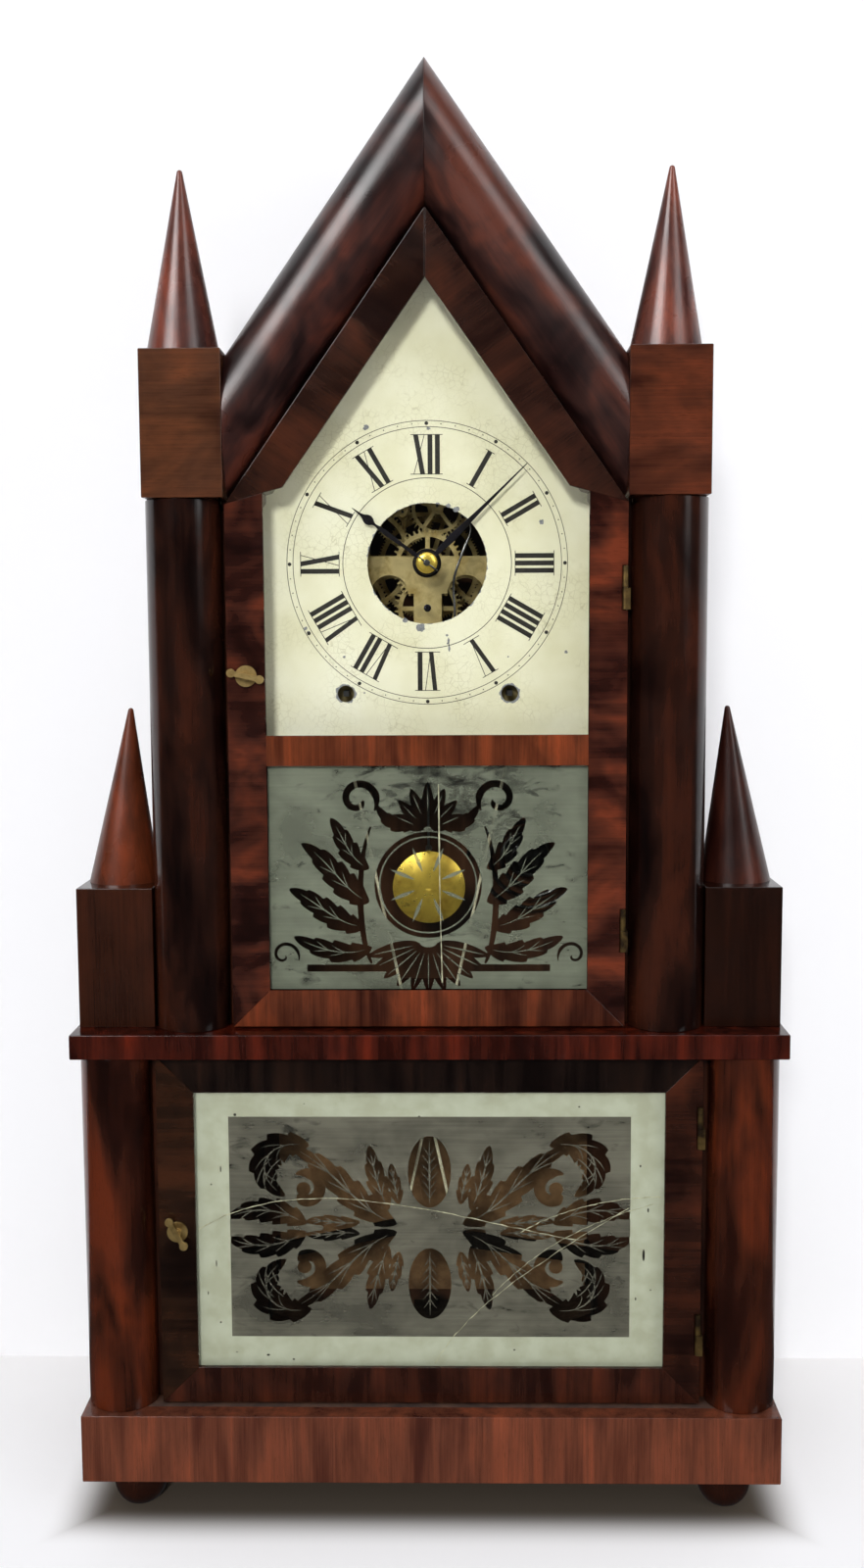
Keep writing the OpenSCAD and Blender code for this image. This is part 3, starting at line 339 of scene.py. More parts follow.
def ramp(tree: Tree, value: Socket, stops: Sequence[tuple[float, object]]) -> Socket:
    """Turns a value into a colour.

    Args:
        tree: The material's node tree.
        value: The value, from 0 to 1.
        stops: Places from 0 to 1 with their colours, hex or linear.

    Returns:
        The colour's socket.
    """
    node = add_node(tree, "ValToRGB", {0: value})
    band = node.color_ramp
    while len(band.elements) < len(stops):
        band.elements.new(0.5)
    for element, (place, code) in zip(band.elements, stops):
        element.position = place
        element.color = hue(code) if isinstance(code, str) else code
    return node.outputs["Color"]


def noise(tree: Tree, place: Socket, size: Sequence[float], detail: float = 3.0,
          distortion: float = 0.0) -> Socket:
    """Adds cloudy noise.

    Args:
        tree: The material's node tree.
        place: The coordinates.
        size: The size of the clouds along X, Y and Z, in millimetres.
        detail: How many finer layers are added.
        distortion: How far the clouds are drawn into swirls.

    Returns:
        The socket of its value.
    """
    scaled = add_node(tree, "Mapping", {"Vector": place, "Scale": [1000 / s for s in size]})
    return add_node(tree, "TexNoise", {
        "Vector": scaled.outputs["Vector"], "Scale": 1.0, "Detail": detail, "Roughness": 0.55,
        "Distortion": distortion}).outputs["Fac"]


def sum_of(tree: Tree, terms: Sequence[tuple[Socket, float]], base: float = 0.0) -> Socket:
    """Adds up values with weights and a base value."""
    total: object = base
    for value, weight in terms:
        total = add_node(tree, "Math", {0: value, 1: weight, 2: total},
                         operation="MULTIPLY_ADD").outputs[0]
    return total


@dataclass(frozen=True)
class Veneer(Finish):
    """French-polished mahogany veneer: dark clouds and red flames round one tone, under a deep gloss."""

    tone: str = "#4a2216"
    grain: Grain = Grain.UP
    shift: float = 0.0
    clouds: float = 0.5
    flame: float = 0.3
    cloud_mm: tuple[float, float, float] = (70.0, 26.0, 26.0)
    gloss: float = 0.15
    lift: float = 0.72

    def stops(self) -> list[tuple[float, tuple[float, ...]]]:
        """Works out the colours from the darkest cloud to the brightest flame.

        Returns:
            Places from 0 to 1 with linear colours.
        """
        red, green, blue, _ = hue(self.tone)
        steps = ((0.12, 0.20, 0.18, 0.22), (0.34, 0.48, 0.44, 0.50), (0.52, 1.0, 1.0, 1.0),
                 (0.70, 1.75, 1.50, 1.30), (0.88, 2.7, 2.1, 1.6))
        return [(place, (red * r * self.lift, green * g * self.lift, blue * b * self.lift, 1.0))
                for place, r, g, b in steps]

    def make(self) -> None:
        """Makes the veneer, its grain laid the way the piece needs."""
        tree, shader, place = self.start()
        laid = add_node(tree, "Mapping", {
            "Vector": place, "Rotation": (0, math.radians(self.grain.value), 0),
            "Location": (self.shift, self.shift * 0.37, self.shift * 0.71)}).outputs["Vector"]
        # Clouds of the crotch figure, tens of millimetres across, drawn out along the grain
        figure = noise(tree, laid, self.cloud_mm, 3, 0.5)
        # Flames: bands 8 mm wide that run with the grain
        flames = noise(tree, laid, (120, 8, 8), 3, 0.4)
        # Growth streaks 0.8 mm wide, drawn coarse enough to show
        streaks = noise(tree, laid, (45, 0.8, 0.8), 2)
        # Open pores: short dark dashes, 5 mm by 0.4 mm
        pores = noise(tree, laid, (5, 0.4, 0.4), 1)
        contrast, middle = 3.2, 0.52
        shares = [self.clouds * contrast, self.flame * contrast, 0.24]
        mixed = sum_of(tree, list(zip((figure, flames, streaks), shares)), middle - 0.5 * sum(shares))
        dashes = add_node(tree, "MapRange", {
            "Value": pores, "From Min": 0.60, "From Max": 0.72, "To Max": 0.35}).outputs["Result"]
        dark = tuple(c * 0.35 for c in hue(self.tone)[:3])
        shade = add_node(tree, "Mix", {
            "Factor": dashes, 6: ramp(tree, mixed, self.stops()), 7: (*dark, 1.0)}, data_type="RGBA")
        # The polish has gone unevenly dull with handling
        wear = noise(tree, place, (28, 28, 28), 3)
        dull = add_node(tree, "MapRange", {
            "Value": wear, "From Min": 0.35, "From Max": 0.7,
            "To Min": self.gloss - 0.03, "To Max": self.gloss + 0.07})
        ripple = sum_of(tree, [(streaks, 0.5), (wear, 0.8)])
        bump = add_node(tree, "Bump", {"Height": ripple, "Strength": 0.10, "Distance": 0.0006})
        feed(tree, shader, {
            "Base Color": shade.outputs[2], "Roughness": dull.outputs["Result"], "IOR": 1.45,
            "Specular IOR Level": 0.42, "Normal": bump.outputs["Normal"]})


@dataclass(frozen=True)
class Pine(Finish):
    """Bare pine gone brown with age and darkened further as painted shade for the dim inside of the case: dull,
    with soft streaks that run up the board.
    """

    base: str = "#452b1e"
    dark: str = "#2b1911"
    pale: str = "#5a3c2b"

    def make(self) -> None:
        """Makes the pine."""
        tree, shader, place = self.start()
        rings = noise(tree, place, (7, 7, 160), 3, 0.4)
        dirt = noise(tree, place, (60, 60, 60), 4)
        mixed = sum_of(tree, [(rings, 0.6), (dirt, 0.5)], -0.05)
        colour = ramp(tree, mixed, [(0.35, self.dark), (0.5, self.base), (0.68, self.pale)])
        bump = add_node(tree, "Bump", {"Height": rings, "Strength": 0.25, "Distance": 0.0005})
        feed(tree, shader, {"Base Color": colour, "Roughness": 0.72, "Normal": bump.outputs["Normal"]})


@dataclass(frozen=True)
class Metal(Finish):
    """Worked metal with a patchy tarnish, brushed or polished."""

    bright: str = "#c9a45a"
    tarnish: str = "#6d4f22"
    roughness: float = 0.34
    tarnish_share: float = 0.45
    metallic: float = 1.0

    def make(self) -> None:
        """Makes the metal."""
        tree, shader, place = self.start()
        patches = noise(tree, place, (9, 9, 9), 4, 0.4)
        share = self.tarnish_share
        colour = ramp(tree, patches, [(share - 0.12, self.tarnish), (share + 0.14, self.bright)])
        rough = add_node(tree, "MapRange", {
            "Value": patches, "From Min": 0.3, "From Max": 0.7,
            "To Min": self.roughness + 0.12, "To Max": self.roughness - 0.06})
        # Scratches from the draw-file and from cleaning, 0.3 mm apart
        scratches = noise(tree, place, (6, 0.3, 0.3), 2)
        bump = add_node(tree, "Bump", {"Height": scratches, "Strength": 0.12, "Distance": 0.0001})
        feed(tree, shader, {
            "Base Color": colour, "Metallic": self.metallic, "Roughness": rough.outputs["Result"],
            "Normal": bump.outputs["Normal"]})


@dataclass(frozen=True)
class DialPaint(Finish):
    """Cream oil paint on a zinc sheet: fine crazing, yellowed patches, and bare metal round the holes."""

    centre_z: float = 0.4608
    hole_r: float = 0.0285
    winding: tuple[float, float] = (0.0394, -0.0619)

    def ring(self, tree: Tree, place: Socket, at: Point) -> Socket:
        """Adds the distance of the dial's points from a place (x, z) on it, in metres."""
        flat = add_node(tree, "VectorMath", {0: place, 1: (1, 0, 1)}, operation="MULTIPLY").outputs[0]
        return add_node(tree, "VectorMath", {0: flat, 1: (at[0], 0, at[1])},
                        operation="DISTANCE").outputs["Value"]

    def make(self) -> None:
        """Makes the dial's paint."""
        tree, shader, place = self.start()
        yellowing = noise(tree, place, (50, 50, 50), 4)
        paint = ramp(tree, yellowing, [(0.35, "#d6d1b3"), (0.52, "#e1ddc5"), (0.7, "#e8e5d3")])
        # Crazing: a net of hairlines 3.2 mm apart, that fades in and out
        swirl = add_node(tree, "TexNoise", {"Vector": place, "Scale": 260.0}).outputs["Color"]
        warped = add_node(tree, "Mix", {"Factor": 0.0015, 4: place, 5: swirl}, data_type="VECTOR").outputs[1]
        net = add_node(tree, "TexVoronoi", {"Vector": warped, "Scale": 1000 / 3.2},
                       feature="DISTANCE_TO_EDGE").outputs["Distance"]
        hairline = add_node(tree, "MapRange", {
            "Value": net, "From Min": 0.0, "From Max": 0.045, "To Min": 1.0, "To Max": 0.0}).outputs["Result"]
        region = add_node(tree, "MapRange", {
            "Value": noise(tree, place, (24, 24, 24), 2), "From Min": 0.42, "From Max": 0.62,
            "To Max": 0.42}).outputs["Result"]
        crazed = add_node(tree, "Math", {0: hairline, 1: region}, operation="MULTIPLY").outputs[0]
        lined = add_node(tree, "Mix", {
            "Factor": crazed, 6: paint, 7: hue("#9a8f68")}, data_type="RGBA").outputs[2]
        # Bare metal shows round the middle hole and, wider, round the winding holes
        ragged = noise(tree, place, (3.2, 3.2, 3.2), 3)
        across, drop = self.winding
        worn: object = 0.0
        for x, z, radius, reach in (
                (0.0, 0.0, self.hole_r, 0.0034), (across, drop, 0.0047, 0.0042),
                (-across, drop, 0.0046, 0.0044)):
            edge = sum_of(tree, [(ragged, reach)], radius - reach * 0.47)
            distance = self.ring(tree, place, (x, self.centre_z + z))
            bare = add_node(tree, "Math", {0: distance, 1: edge}, operation="LESS_THAN").outputs[0]
            worn = add_node(tree, "Math", {0: worn, 1: bare}, operation="MAXIMUM").outputs[0]
        colour = add_node(tree, "Mix", {"Factor": worn, 6: lined, 7: hue("#7f8085")}, data_type="RGBA")
        height = sum_of(tree, [(crazed, -1.0), (worn, -1.6)])
        bump = add_node(tree, "Bump", {"Height": height, "Strength": 0.35, "Distance": 0.0001})
        feed(tree, shader, {
            "Base Color": colour.outputs[2], "Roughness": 0.42, "IOR": 1.48,
            "Normal": bump.outputs["Normal"]})


@dataclass(frozen=True)
class WindowGlass(Finish):
    """Old clear window glass, thin enough that it hardly bends what is behind it."""

    tint: str = "#fefffd"
    share: float = 0.8

    def make(self) -> None:
        """Makes the glass: a clear film with the shine of glass over it."""
        tree, shader, place = self.start()
        # Blown glass is slightly wavy
        wave = add_node(tree, "Bump", {
            "Height": noise(tree, place, (30, 30, 55), 1), "Strength": 0.25, "Distance": 0.0006})
        feed(tree, shader, {
            "Base Color": hue("#e9ece8"), "Metallic": 1.0, "Roughness": 0.04,
            "Normal": wave.outputs["Normal"]})
        film = add_node(tree, "BsdfTransparent", {"Color": hue(self.tint)})
        # Only the outer side of each face shines, so that light gets through the pane at every slant
        outer = add_node(tree, "Math", {
            0: -self.share, 1: add_node(tree, "NewGeometry").outputs["Backfacing"], 2: self.share},
            operation="MULTIPLY_ADD")
        shine = add_node(tree, "Math", {
            0: add_node(tree, "Fresnel", {"IOR": 1.45}).outputs[0], 1: outer.outputs[0]},
            operation="MULTIPLY")
        show(tree, add_node(tree, "MixShader", {
            0: shine.outputs[0], 1: film.outputs[0], 2: shader.outputs["BSDF"]}).outputs[0])


@dataclass(frozen=True)
class Frosting(Finish):
    """Grey-silver frosting on the back of the glass: brushed on thinly, with soot in places."""

    pale: str = "#9c9f93"
    mid: str = "#868a7f"
    soot_at: Point = (0.0, 350.0)
    soot_reach: float = 45.0
    cover: float = 0.7

    def make(self) -> None:
        """Makes the frosting."""
        tree, shader, place = self.start()
        cloud = noise(tree, place, (34, 34, 22), 3, 0.4)
        # Brush strokes run across, a millimetre or so apart
        strokes = noise(tree, place, (60, 60, 1.1), 3)
        tone = ramp(tree, sum_of(tree, [(cloud, 0.7), (strokes, 0.3)]), [(0.38, self.mid), (0.62, self.pale)])
        # Soot lies thick round one place, wider than high, and in a few stray smudges
        wide, high = 0.7, 1.5
        flat = add_node(tree, "VectorMath", {0: place, 1: (wide, 0, high)}, operation="MULTIPLY").outputs[0]
        away = add_node(tree, "VectorMath", {
            0: flat, 1: (self.soot_at[0] * wide * MM, 0, self.soot_at[1] * high * MM)},
            operation="DISTANCE").outputs["Value"]
        near = add_node(tree, "MapRange", {
            "Value": away, "From Max": self.soot_reach * MM, "To Min": 0.24, "To Max": 0.0}).outputs["Result"]
        smudge = sum_of(tree, [(noise(tree, place, (13, 13, 6), 4, 0.8), 1.0), (near, 1.0)])
        soot = add_node(tree, "MapRange", {
            "Value": smudge, "From Min": 0.60, "From Max": 0.80, "To Max": 0.93}).outputs["Result"]
        colour = add_node(tree, "Mix", {"Factor": soot, 6: tone, 7: hue("#171614")}, data_type="RGBA")
        feed(tree, shader, {"Base Color": colour.outputs[2], "Roughness": 0.5})
        film = add_node(tree, "BsdfTransparent")
        thin = add_node(tree, "MapRange", {
            "Value": cloud, "From Min": 0.34, "From Max": 0.62,
            "To Min": self.cover - 0.1, "To Max": self.cover + 0.05}).outputs["Result"]
        show(tree, add_node(tree, "MixShader", {
            0: thin, 1: film.outputs[0], 2: shader.outputs["BSDF"]}).outputs[0])


@dataclass(frozen=True)
class Plain(Finish):
    """A painted, inked, papery or waxed surface with a mottle of two near colours."""

    light: str = "#1c1712"
    dark: str = "#0c0a08"
    mottle_mm: float = 2.0
    roughness: float = 0.6

    def make(self) -> None:
        """Makes the mottled surface."""
        tree, shader, place = self.start()
        mottle = noise(tree, place, (self.mottle_mm,) * 3, 4)
        bump = add_node(tree, "Bump", {"Height": mottle, "Strength": 0.1, "Distance": 0.0001})
        feed(tree, shader, {
            "Base Color": ramp(tree, mottle, [(0.38, self.dark), (0.62, self.light)]),
            "Roughness": self.roughness, "Normal": bump.outputs["Normal"]})


@dataclass(frozen=True)
class Backdrop(Finish):
    """White studio paper, lifted to the eye in the open, with painted shadow and painted shade where something
    stands on it or close to it.
    """

    colour: str = "#f3f3f4"
    glow: float = 0.45
    one_sided: bool = False
    painted_shadow_footprint: tuple[float, float, float] = (0.0, 0.0, -1.0)

    def make(self) -> None:
        """Makes the paper."""
        tree, shader, place = self.start()
        # Painted shadow: the paper's colour darkens to brown under the clock, where light hardly reaches
        half_width, middle_y, half_depth = self.painted_shadow_footprint
        apart = add_node(tree, "VectorMath", {0: place, 1: (0, middle_y, 0)}, operation="SUBTRACT")
        apart = add_node(tree, "VectorMath", {0: apart.outputs[0]}, operation="ABSOLUTE")
        past = add_node(tree, "VectorMath", {0: apart.outputs[0], 1: (half_width, half_depth, 0)},
                        operation="SUBTRACT")
        past = add_node(tree, "SeparateXYZ", {0: past.outputs[0]})
        outside = add_node(tree, "Math", {0: past.outputs["X"], 1: past.outputs["Y"]}, operation="MAXIMUM")
        out_of_painted_shadow = add_node(tree, "MapRange", {
            "Value": outside.outputs[0], "From Min": -0.012, "From Max": 0.02},
            interpolation_type="SMOOTHSTEP").outputs["Result"]
        base = add_node(tree, "Mix", {
            "Factor": out_of_painted_shadow, 6: hue("#5a5147"), 7: hue(self.colour)}, data_type="RGBA")
        feed(tree, shader, {"Base Color": base.outputs[2], "Roughness": 0.9, "Specular IOR Level": 0.1})
        glow = add_node(tree, "Emission", {"Color": hue("#fbfbff"), "Strength": 1.0})
        # The glow is for the eye only, and fades where something stands close: painted shade on the paper near
        # the clock
        ao_painted_shade = add_node(tree, "AmbientOcclusion", {"Distance": 0.16}, samples=8).outputs["AO"]
        lifted = add_node(tree, "Math", {0: ao_painted_shade, 1: out_of_painted_shadow}, operation="MULTIPLY")
        lifted = add_node(tree, "Math", {0: lifted.outputs[0], 1: 1.3}, operation="POWER")
        eye = add_node(tree, "LightPath").outputs["Is Camera Ray"]
        seen = add_node(tree, "Math", {0: eye, 1: lifted.outputs[0]}, operation="MULTIPLY")
        share = add_node(tree, "Math", {0: seen.outputs[0], 1: self.glow}, operation="MULTIPLY")
        surface = add_node(tree, "MixShader", {
            0: share.outputs[0], 1: shader.outputs["BSDF"], 2: glow.outputs[0]}).outputs[0]
        if self.one_sided:
            back = add_node(tree, "NewGeometry").outputs["Backfacing"]
            clear = add_node(tree, "BsdfTransparent")
            surface = add_node(tree, "MixShader", {0: back, 1: surface, 2: clear.outputs[0]}).outputs[0]
        show(tree, surface)


def dress(piece: Piece, body: str, slot: str, finish: Finish, *nodes: str) -> Piece:
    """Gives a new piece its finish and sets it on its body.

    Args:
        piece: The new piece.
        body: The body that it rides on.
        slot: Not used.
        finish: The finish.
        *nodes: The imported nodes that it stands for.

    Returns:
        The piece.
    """
    piece.data.materials.clear()
    piece.data.materials.append(finish.build())
    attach(piece, body)
    if nodes:
        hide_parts(*nodes)
    LOG.info("made %s on %s", piece.name, body)
    return piece


def paint(node: str, *finishes: Finish) -> bpy.types.Mesh:
    """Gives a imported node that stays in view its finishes, and returns its mesh."""
    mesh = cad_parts[node].data
    mesh.materials.clear()
    for finish in finishes:
        mesh.materials.append(finish.build())
    LOG.info("painted %s", node)
    return mesh


def paint_two(node: str, outer: Finish, inner: Finish, inside: Callable[[Vector], bool]) -> None:
    """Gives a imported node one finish, and another on the faces whose middles pass a test."""
    for face in paint(node, outer, inner).polygons:
        face.material_index = int(inside(face.center))


def round_axis(at: Point, radius: float) -> Callable[[Vector], bool]:
    """Makes the test for what is near an axis that points to the front from a place (x, z)."""
    return lambda middle: math.hypot(middle.x - at[0], middle.z - at[1]) < radius


# Finishes of the clock
BRASS = Metal("lacquered rolled brass", "#ddc88f", "#9a8148", 0.42, 0.42, 0.8)
HINGE_BRASS = Metal("blackened hinge brass", "#8d7343", "#33261a", 0.42, 0.52, 0.85)
OLD_BRASS = Metal("handled cast brass", "#cdb072", "#7b6338", 0.36, 0.44, 0.85)
BOB_BRASS = Metal("polished bob brass", "#efce5c", "#b48a34", 0.3, 0.38, 0.75)
STEEL = Metal("drawn steel", "#77777a", "#3c3a39", 0.34, 0.45)
BLUED = Metal("blued hand steel", "#34313a", "#1d1a1d", 0.36, 0.5, 0.85)
IRON = Metal("cast iron", "#35302d", "#1b1614", 0.6, 0.5, 0.8)
LEAF_STEEL = Metal("rusty leaf spring steel", "#4b3a30", "#2a1c15", 0.55, 0.5, 0.7)
# The pine is darker than the aged wood alone, as painted shade for the dim inside of the case
SHADED_PINE = Pine("aged bare pine with painted shade")
INK = Plain("dial ink", "#26211b", "#15110d", 1.5, 0.55)
ZINC = Plain("bare zinc", "#85868b", "#6c6d72", 1.2, 0.5)
# The label is darker than the aged paper alone, as painted shade for the dim inside of the case
SHADED_LABEL = Plain("aged label paper with painted shade", "#86674b", "#684d38", 9.0, 0.85)
LINE = Plain("waxed cord", "#e9e4d2", "#cfc6a8", 0.8, 0.8)
CLEAR = WindowGlass("clear window glass")
TABLET_CLEAR = WindowGlass("clear tablet glass", "#fafbf7")
UPPER_FROST = Frosting("upper tablet frosting", "#83877c", "#70746a", (4.0, 352.0), 46.0, 0.68)
LOWER_FROST = Frosting("lower tablet frosting", "#757169", "#57544e", (-75.0, 180.0), 30.0, 0.78)
CELADON = Plain("celadon border paint", "#babdb1", "#abac9d", 12.0, 0.45)
CRACK = Plain("glass crack", "#b9b898", "#84836a", 3.0, 0.35)


@dataclass
class Case:
    """The mahogany case: plinth, columns, shelf, blocks, steeples, gable and backboards."""

    edge: float = 0.5 * MM

    def wood(self, node: str, *look: object, slot: str = "veneer", edge: float | None = None) -> None:
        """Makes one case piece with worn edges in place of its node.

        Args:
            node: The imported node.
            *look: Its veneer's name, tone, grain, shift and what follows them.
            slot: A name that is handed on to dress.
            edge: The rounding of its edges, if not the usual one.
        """
        piece = merged_copy(node, node + "_veneered")
        soften(piece, self.edge if edge is None else edge)
        dress(piece, "case", slot, Veneer(*look), node)

    def build(self) -> None:
        """Makes the case."""
        up, dark = Grain.UP, "dark_veneer"
        # The plinth's lighter tone is partly its own veneer and partly a painted reflection of the white floor,
        # which the polish doesn't mirror
        self.wood("base_plinth", "plinth veneer", "#6b3c2b", up, 0.3, 0.22, 0.2, (90, 24, 24))
        self.wood("middle_shelf", "shelf edge veneer", "#3c140b", up, 1.7, 0.35, 0.42, (60, 20, 20), slot=dark)
        self.wood("lower_columns", "lower column veneer", "#3b1a0e", up, 2.1, 0.7, 0.16, (90, 26, 26))
        self.wood("upper_columns", "upper column veneer", "#24110b", up, 3.3, 0.72, 0.16, (80, 26, 26))
        self.wood("lower_sides", "lower side veneer", "#331a10", up, 4.1, 0.4, 0.2)
        self.wood("upper_sides", "upper side veneer", "#331a10", up, 5.9, 0.4, 0.2)
        # Side, gable's grain, and the tones of side block, cap block, both steeples and gable
        sides = (("left", Grain.LEFT_SLOPE, "#331a10", "#50301f", "#5a2a17", "#5f3025", "#341b17"),
                 ("right", Grain.RIGHT_SLOPE, "#200f09", "#4e281a", "#3e1c13", "#67372c", "#3a201b"))
        for k, (side, slope, block, cap, low_cone, high_cone, ridge) in enumerate(sides):
            self.wood(f"{side}_side_block", f"{side} side block veneer", block, up, 6.1 + 2 * k, 0.15, 0.12,
                      slot=dark)
            self.wood(f"{side}_cap_block", f"{side} cap block veneer", cap, Grain.ACROSS, 7.4 + 2 * k,
                      0.34, 0.08, (46, 24, 24), slot=dark)
            self.wood(f"{side}_gable_moulding", f"{side} gable veneer", ridge, slope, 9.2 + 2 * k,
                      0.78, 0.16, (44, 26, 26), 0.3, slot=dark, edge=0.25 * MM)
            for level, tone in (("lower", low_cone), ("upper", high_cone)):
                self.wood(f"{level}_{side}_steeple", f"{level} {side} steeple polish", tone, up, 11.3 + k,
                          0.4, 0.14, (60, 18, 18), 0.3)
        self.wood("bun_feet", "foot polish", "#2c150d", up, 13.7, 0.2, 0.1, slot=dark)
        for node in ("base_board", "lower_backboard", "upper_backboard", "roof_boards"):
            paint(node, SHADED_PINE)
        paint("paper_label", SHADED_LABEL)
        for node in ("case_hinges", "upper_door_hinges", "lower_door_hinges"):
            paint(node, HINGE_BRASS)


@dataclass
class DoorFrames:
    """The two door frames, each cut into its members so that the grain turns at every joint."""

    edge: float = 0.45 * MM
    half: float = 93.2 * MM
    member: float = 17.8 * MM
    shoulder: float = 487.5 * MM
    inner_shoulder: float = 482.6 * MM
    upper_foot: float = 241.2 * MM
    tablet_top: float = 366.1 * MM
    rail_top: float = 380.2 * MM
    lower_half: float = 130.5 * MM
    lower_foot: float = 54.8 * MM
    lower_head: float = 227.5 * MM

    def build_member(self, door: str, member: str, look: Sequence[object],
                     cuts: Sequence[tuple[Sequence[float], Sequence[float]]]) -> None:
        """Cuts one member out of a door's frame.

        Args:
            door: The door that it rides on.
            member: What it is called there.
            look: Its veneer's tone, grain, shift and what follows them.
            cuts: Planes as a point and the direction that goes.
        """
        name, node = f"{door}_{member}", f"{door}_frame"
        piece = merged_copy(node, name)
        for point, away in cuts:
            cut(piece, point, away)
        soften(piece, self.edge)
        dress(piece, door, "veneer", Veneer(name.replace("_", " ") + " veneer", *look), node)

    def build_upper(self) -> None:
        """Makes the members of the gabled door."""
        door, inner, foot_z = "upper_door", self.half - self.member, self.upper_foot
        drop = self.shoulder - self.inner_shoulder
        # How far past the rail's two edges its saw cuts lie
        past = 6 * MM
        for k, (side, s, tone, rail_tone, slope) in enumerate((
                ("left", -1, "#3f1f16", "#2f1a12", Grain.OVER_LEFT_SLOPE),
                ("right", 1, "#482318", "#301b14", Grain.OVER_RIGHT_SLOPE))):
            shoulder = (s * self.half, 0, self.shoulder)
            # The mitre at the shoulder falls from the outer edge to the inner one
            up = (s * drop, 0, self.member)
            down = tuple(-c for c in up)
            self.build_member(
                door, f"{side}_stile", (tone, Grain.ACROSS, 21.0 + k, 0.68, 0.22, (38, 38, 26)),
                [(shoulder, up), ((s * self.half, 0, foot_z), (-s, 0, -1)), ((s * inner, 0, 0), (-s, 0, 0))])
            self.build_member(
                door, f"{side}_gable_rail", (rail_tone, slope, 24.0 + k, 0.5, 0.16, (46, 40, 40)),
                [(shoulder, down), ((0, 0, 0), (-s, 0, 0))])
        self.build_member(
            door, "middle_rail", ("#66331e", Grain.UP, 27.0, 0.25, 0.28, (50, 20, 20)),
            [((0, 0, self.rail_top + past), (0, 0, 1)), ((0, 0, self.tablet_top - past), (0, 0, -1)),
             ((inner, 0, 0), (1, 0, 0)), ((-inner, 0, 0), (-1, 0, 0))])
        self.build_member(
            door, "bottom_rail", ("#5a2d1c", Grain.UP, 28.0, 0.3, 0.34, (50, 20, 20)),
            [((0, 0, foot_z + self.member), (0, 0, 1)), ((self.half, 0, foot_z), (1, 0, 1)),
             ((-self.half, 0, foot_z), (-1, 0, 1))])

    def build_lower(self) -> None:
        """Makes the members of the square door, mitred at its corners."""
        door, low, high = "lower_door", self.lower_foot, self.lower_head
        for k, (side, s, tone) in enumerate((("left", -1, "#26160d"), ("right", 1, "#2d160e"))):
            edge = s * self.lower_half
            self.build_member(
                door, f"{side}_stile", (tone, Grain.ACROSS, 31.0 + k, 0.4, 0.25, (40, 40, 40)),
                [((edge, 0, high), (-s, 0, 1)), ((edge, 0, low), (-s, 0, -1)),
                 ((s * (self.lower_half - self.member - MM), 0, 0), (-s, 0, 0))])
        for name, z, up, shift, tone in (
                ("top", high, 1, 33.0, "#1a100c"), ("bottom", low, -1, 34.0, "#371b12")):
            self.build_member(
                door, f"{name}_rail", (tone, Grain.UP, shift, 0.3, 0.3, (50, 22, 22)),
                [((self.lower_half, 0, z), (1, 0, -up)), ((-self.lower_half, 0, z), (-1, 0, -up)),
                 ((0, 0, z - up * (self.member + MM)), (0, 0, -up))])

    def build(self) -> None:
        """Makes both frames and their catches."""
        self.build_upper()
        self.build_lower()
        for name in ("upper_catch", "lower_catch"):
            piece = merged_copy(name, name + "_worn")
            soften(piece, 0.3 * MM, 2, 40)
            dress(piece, name, "brass", OLD_BRASS, name)


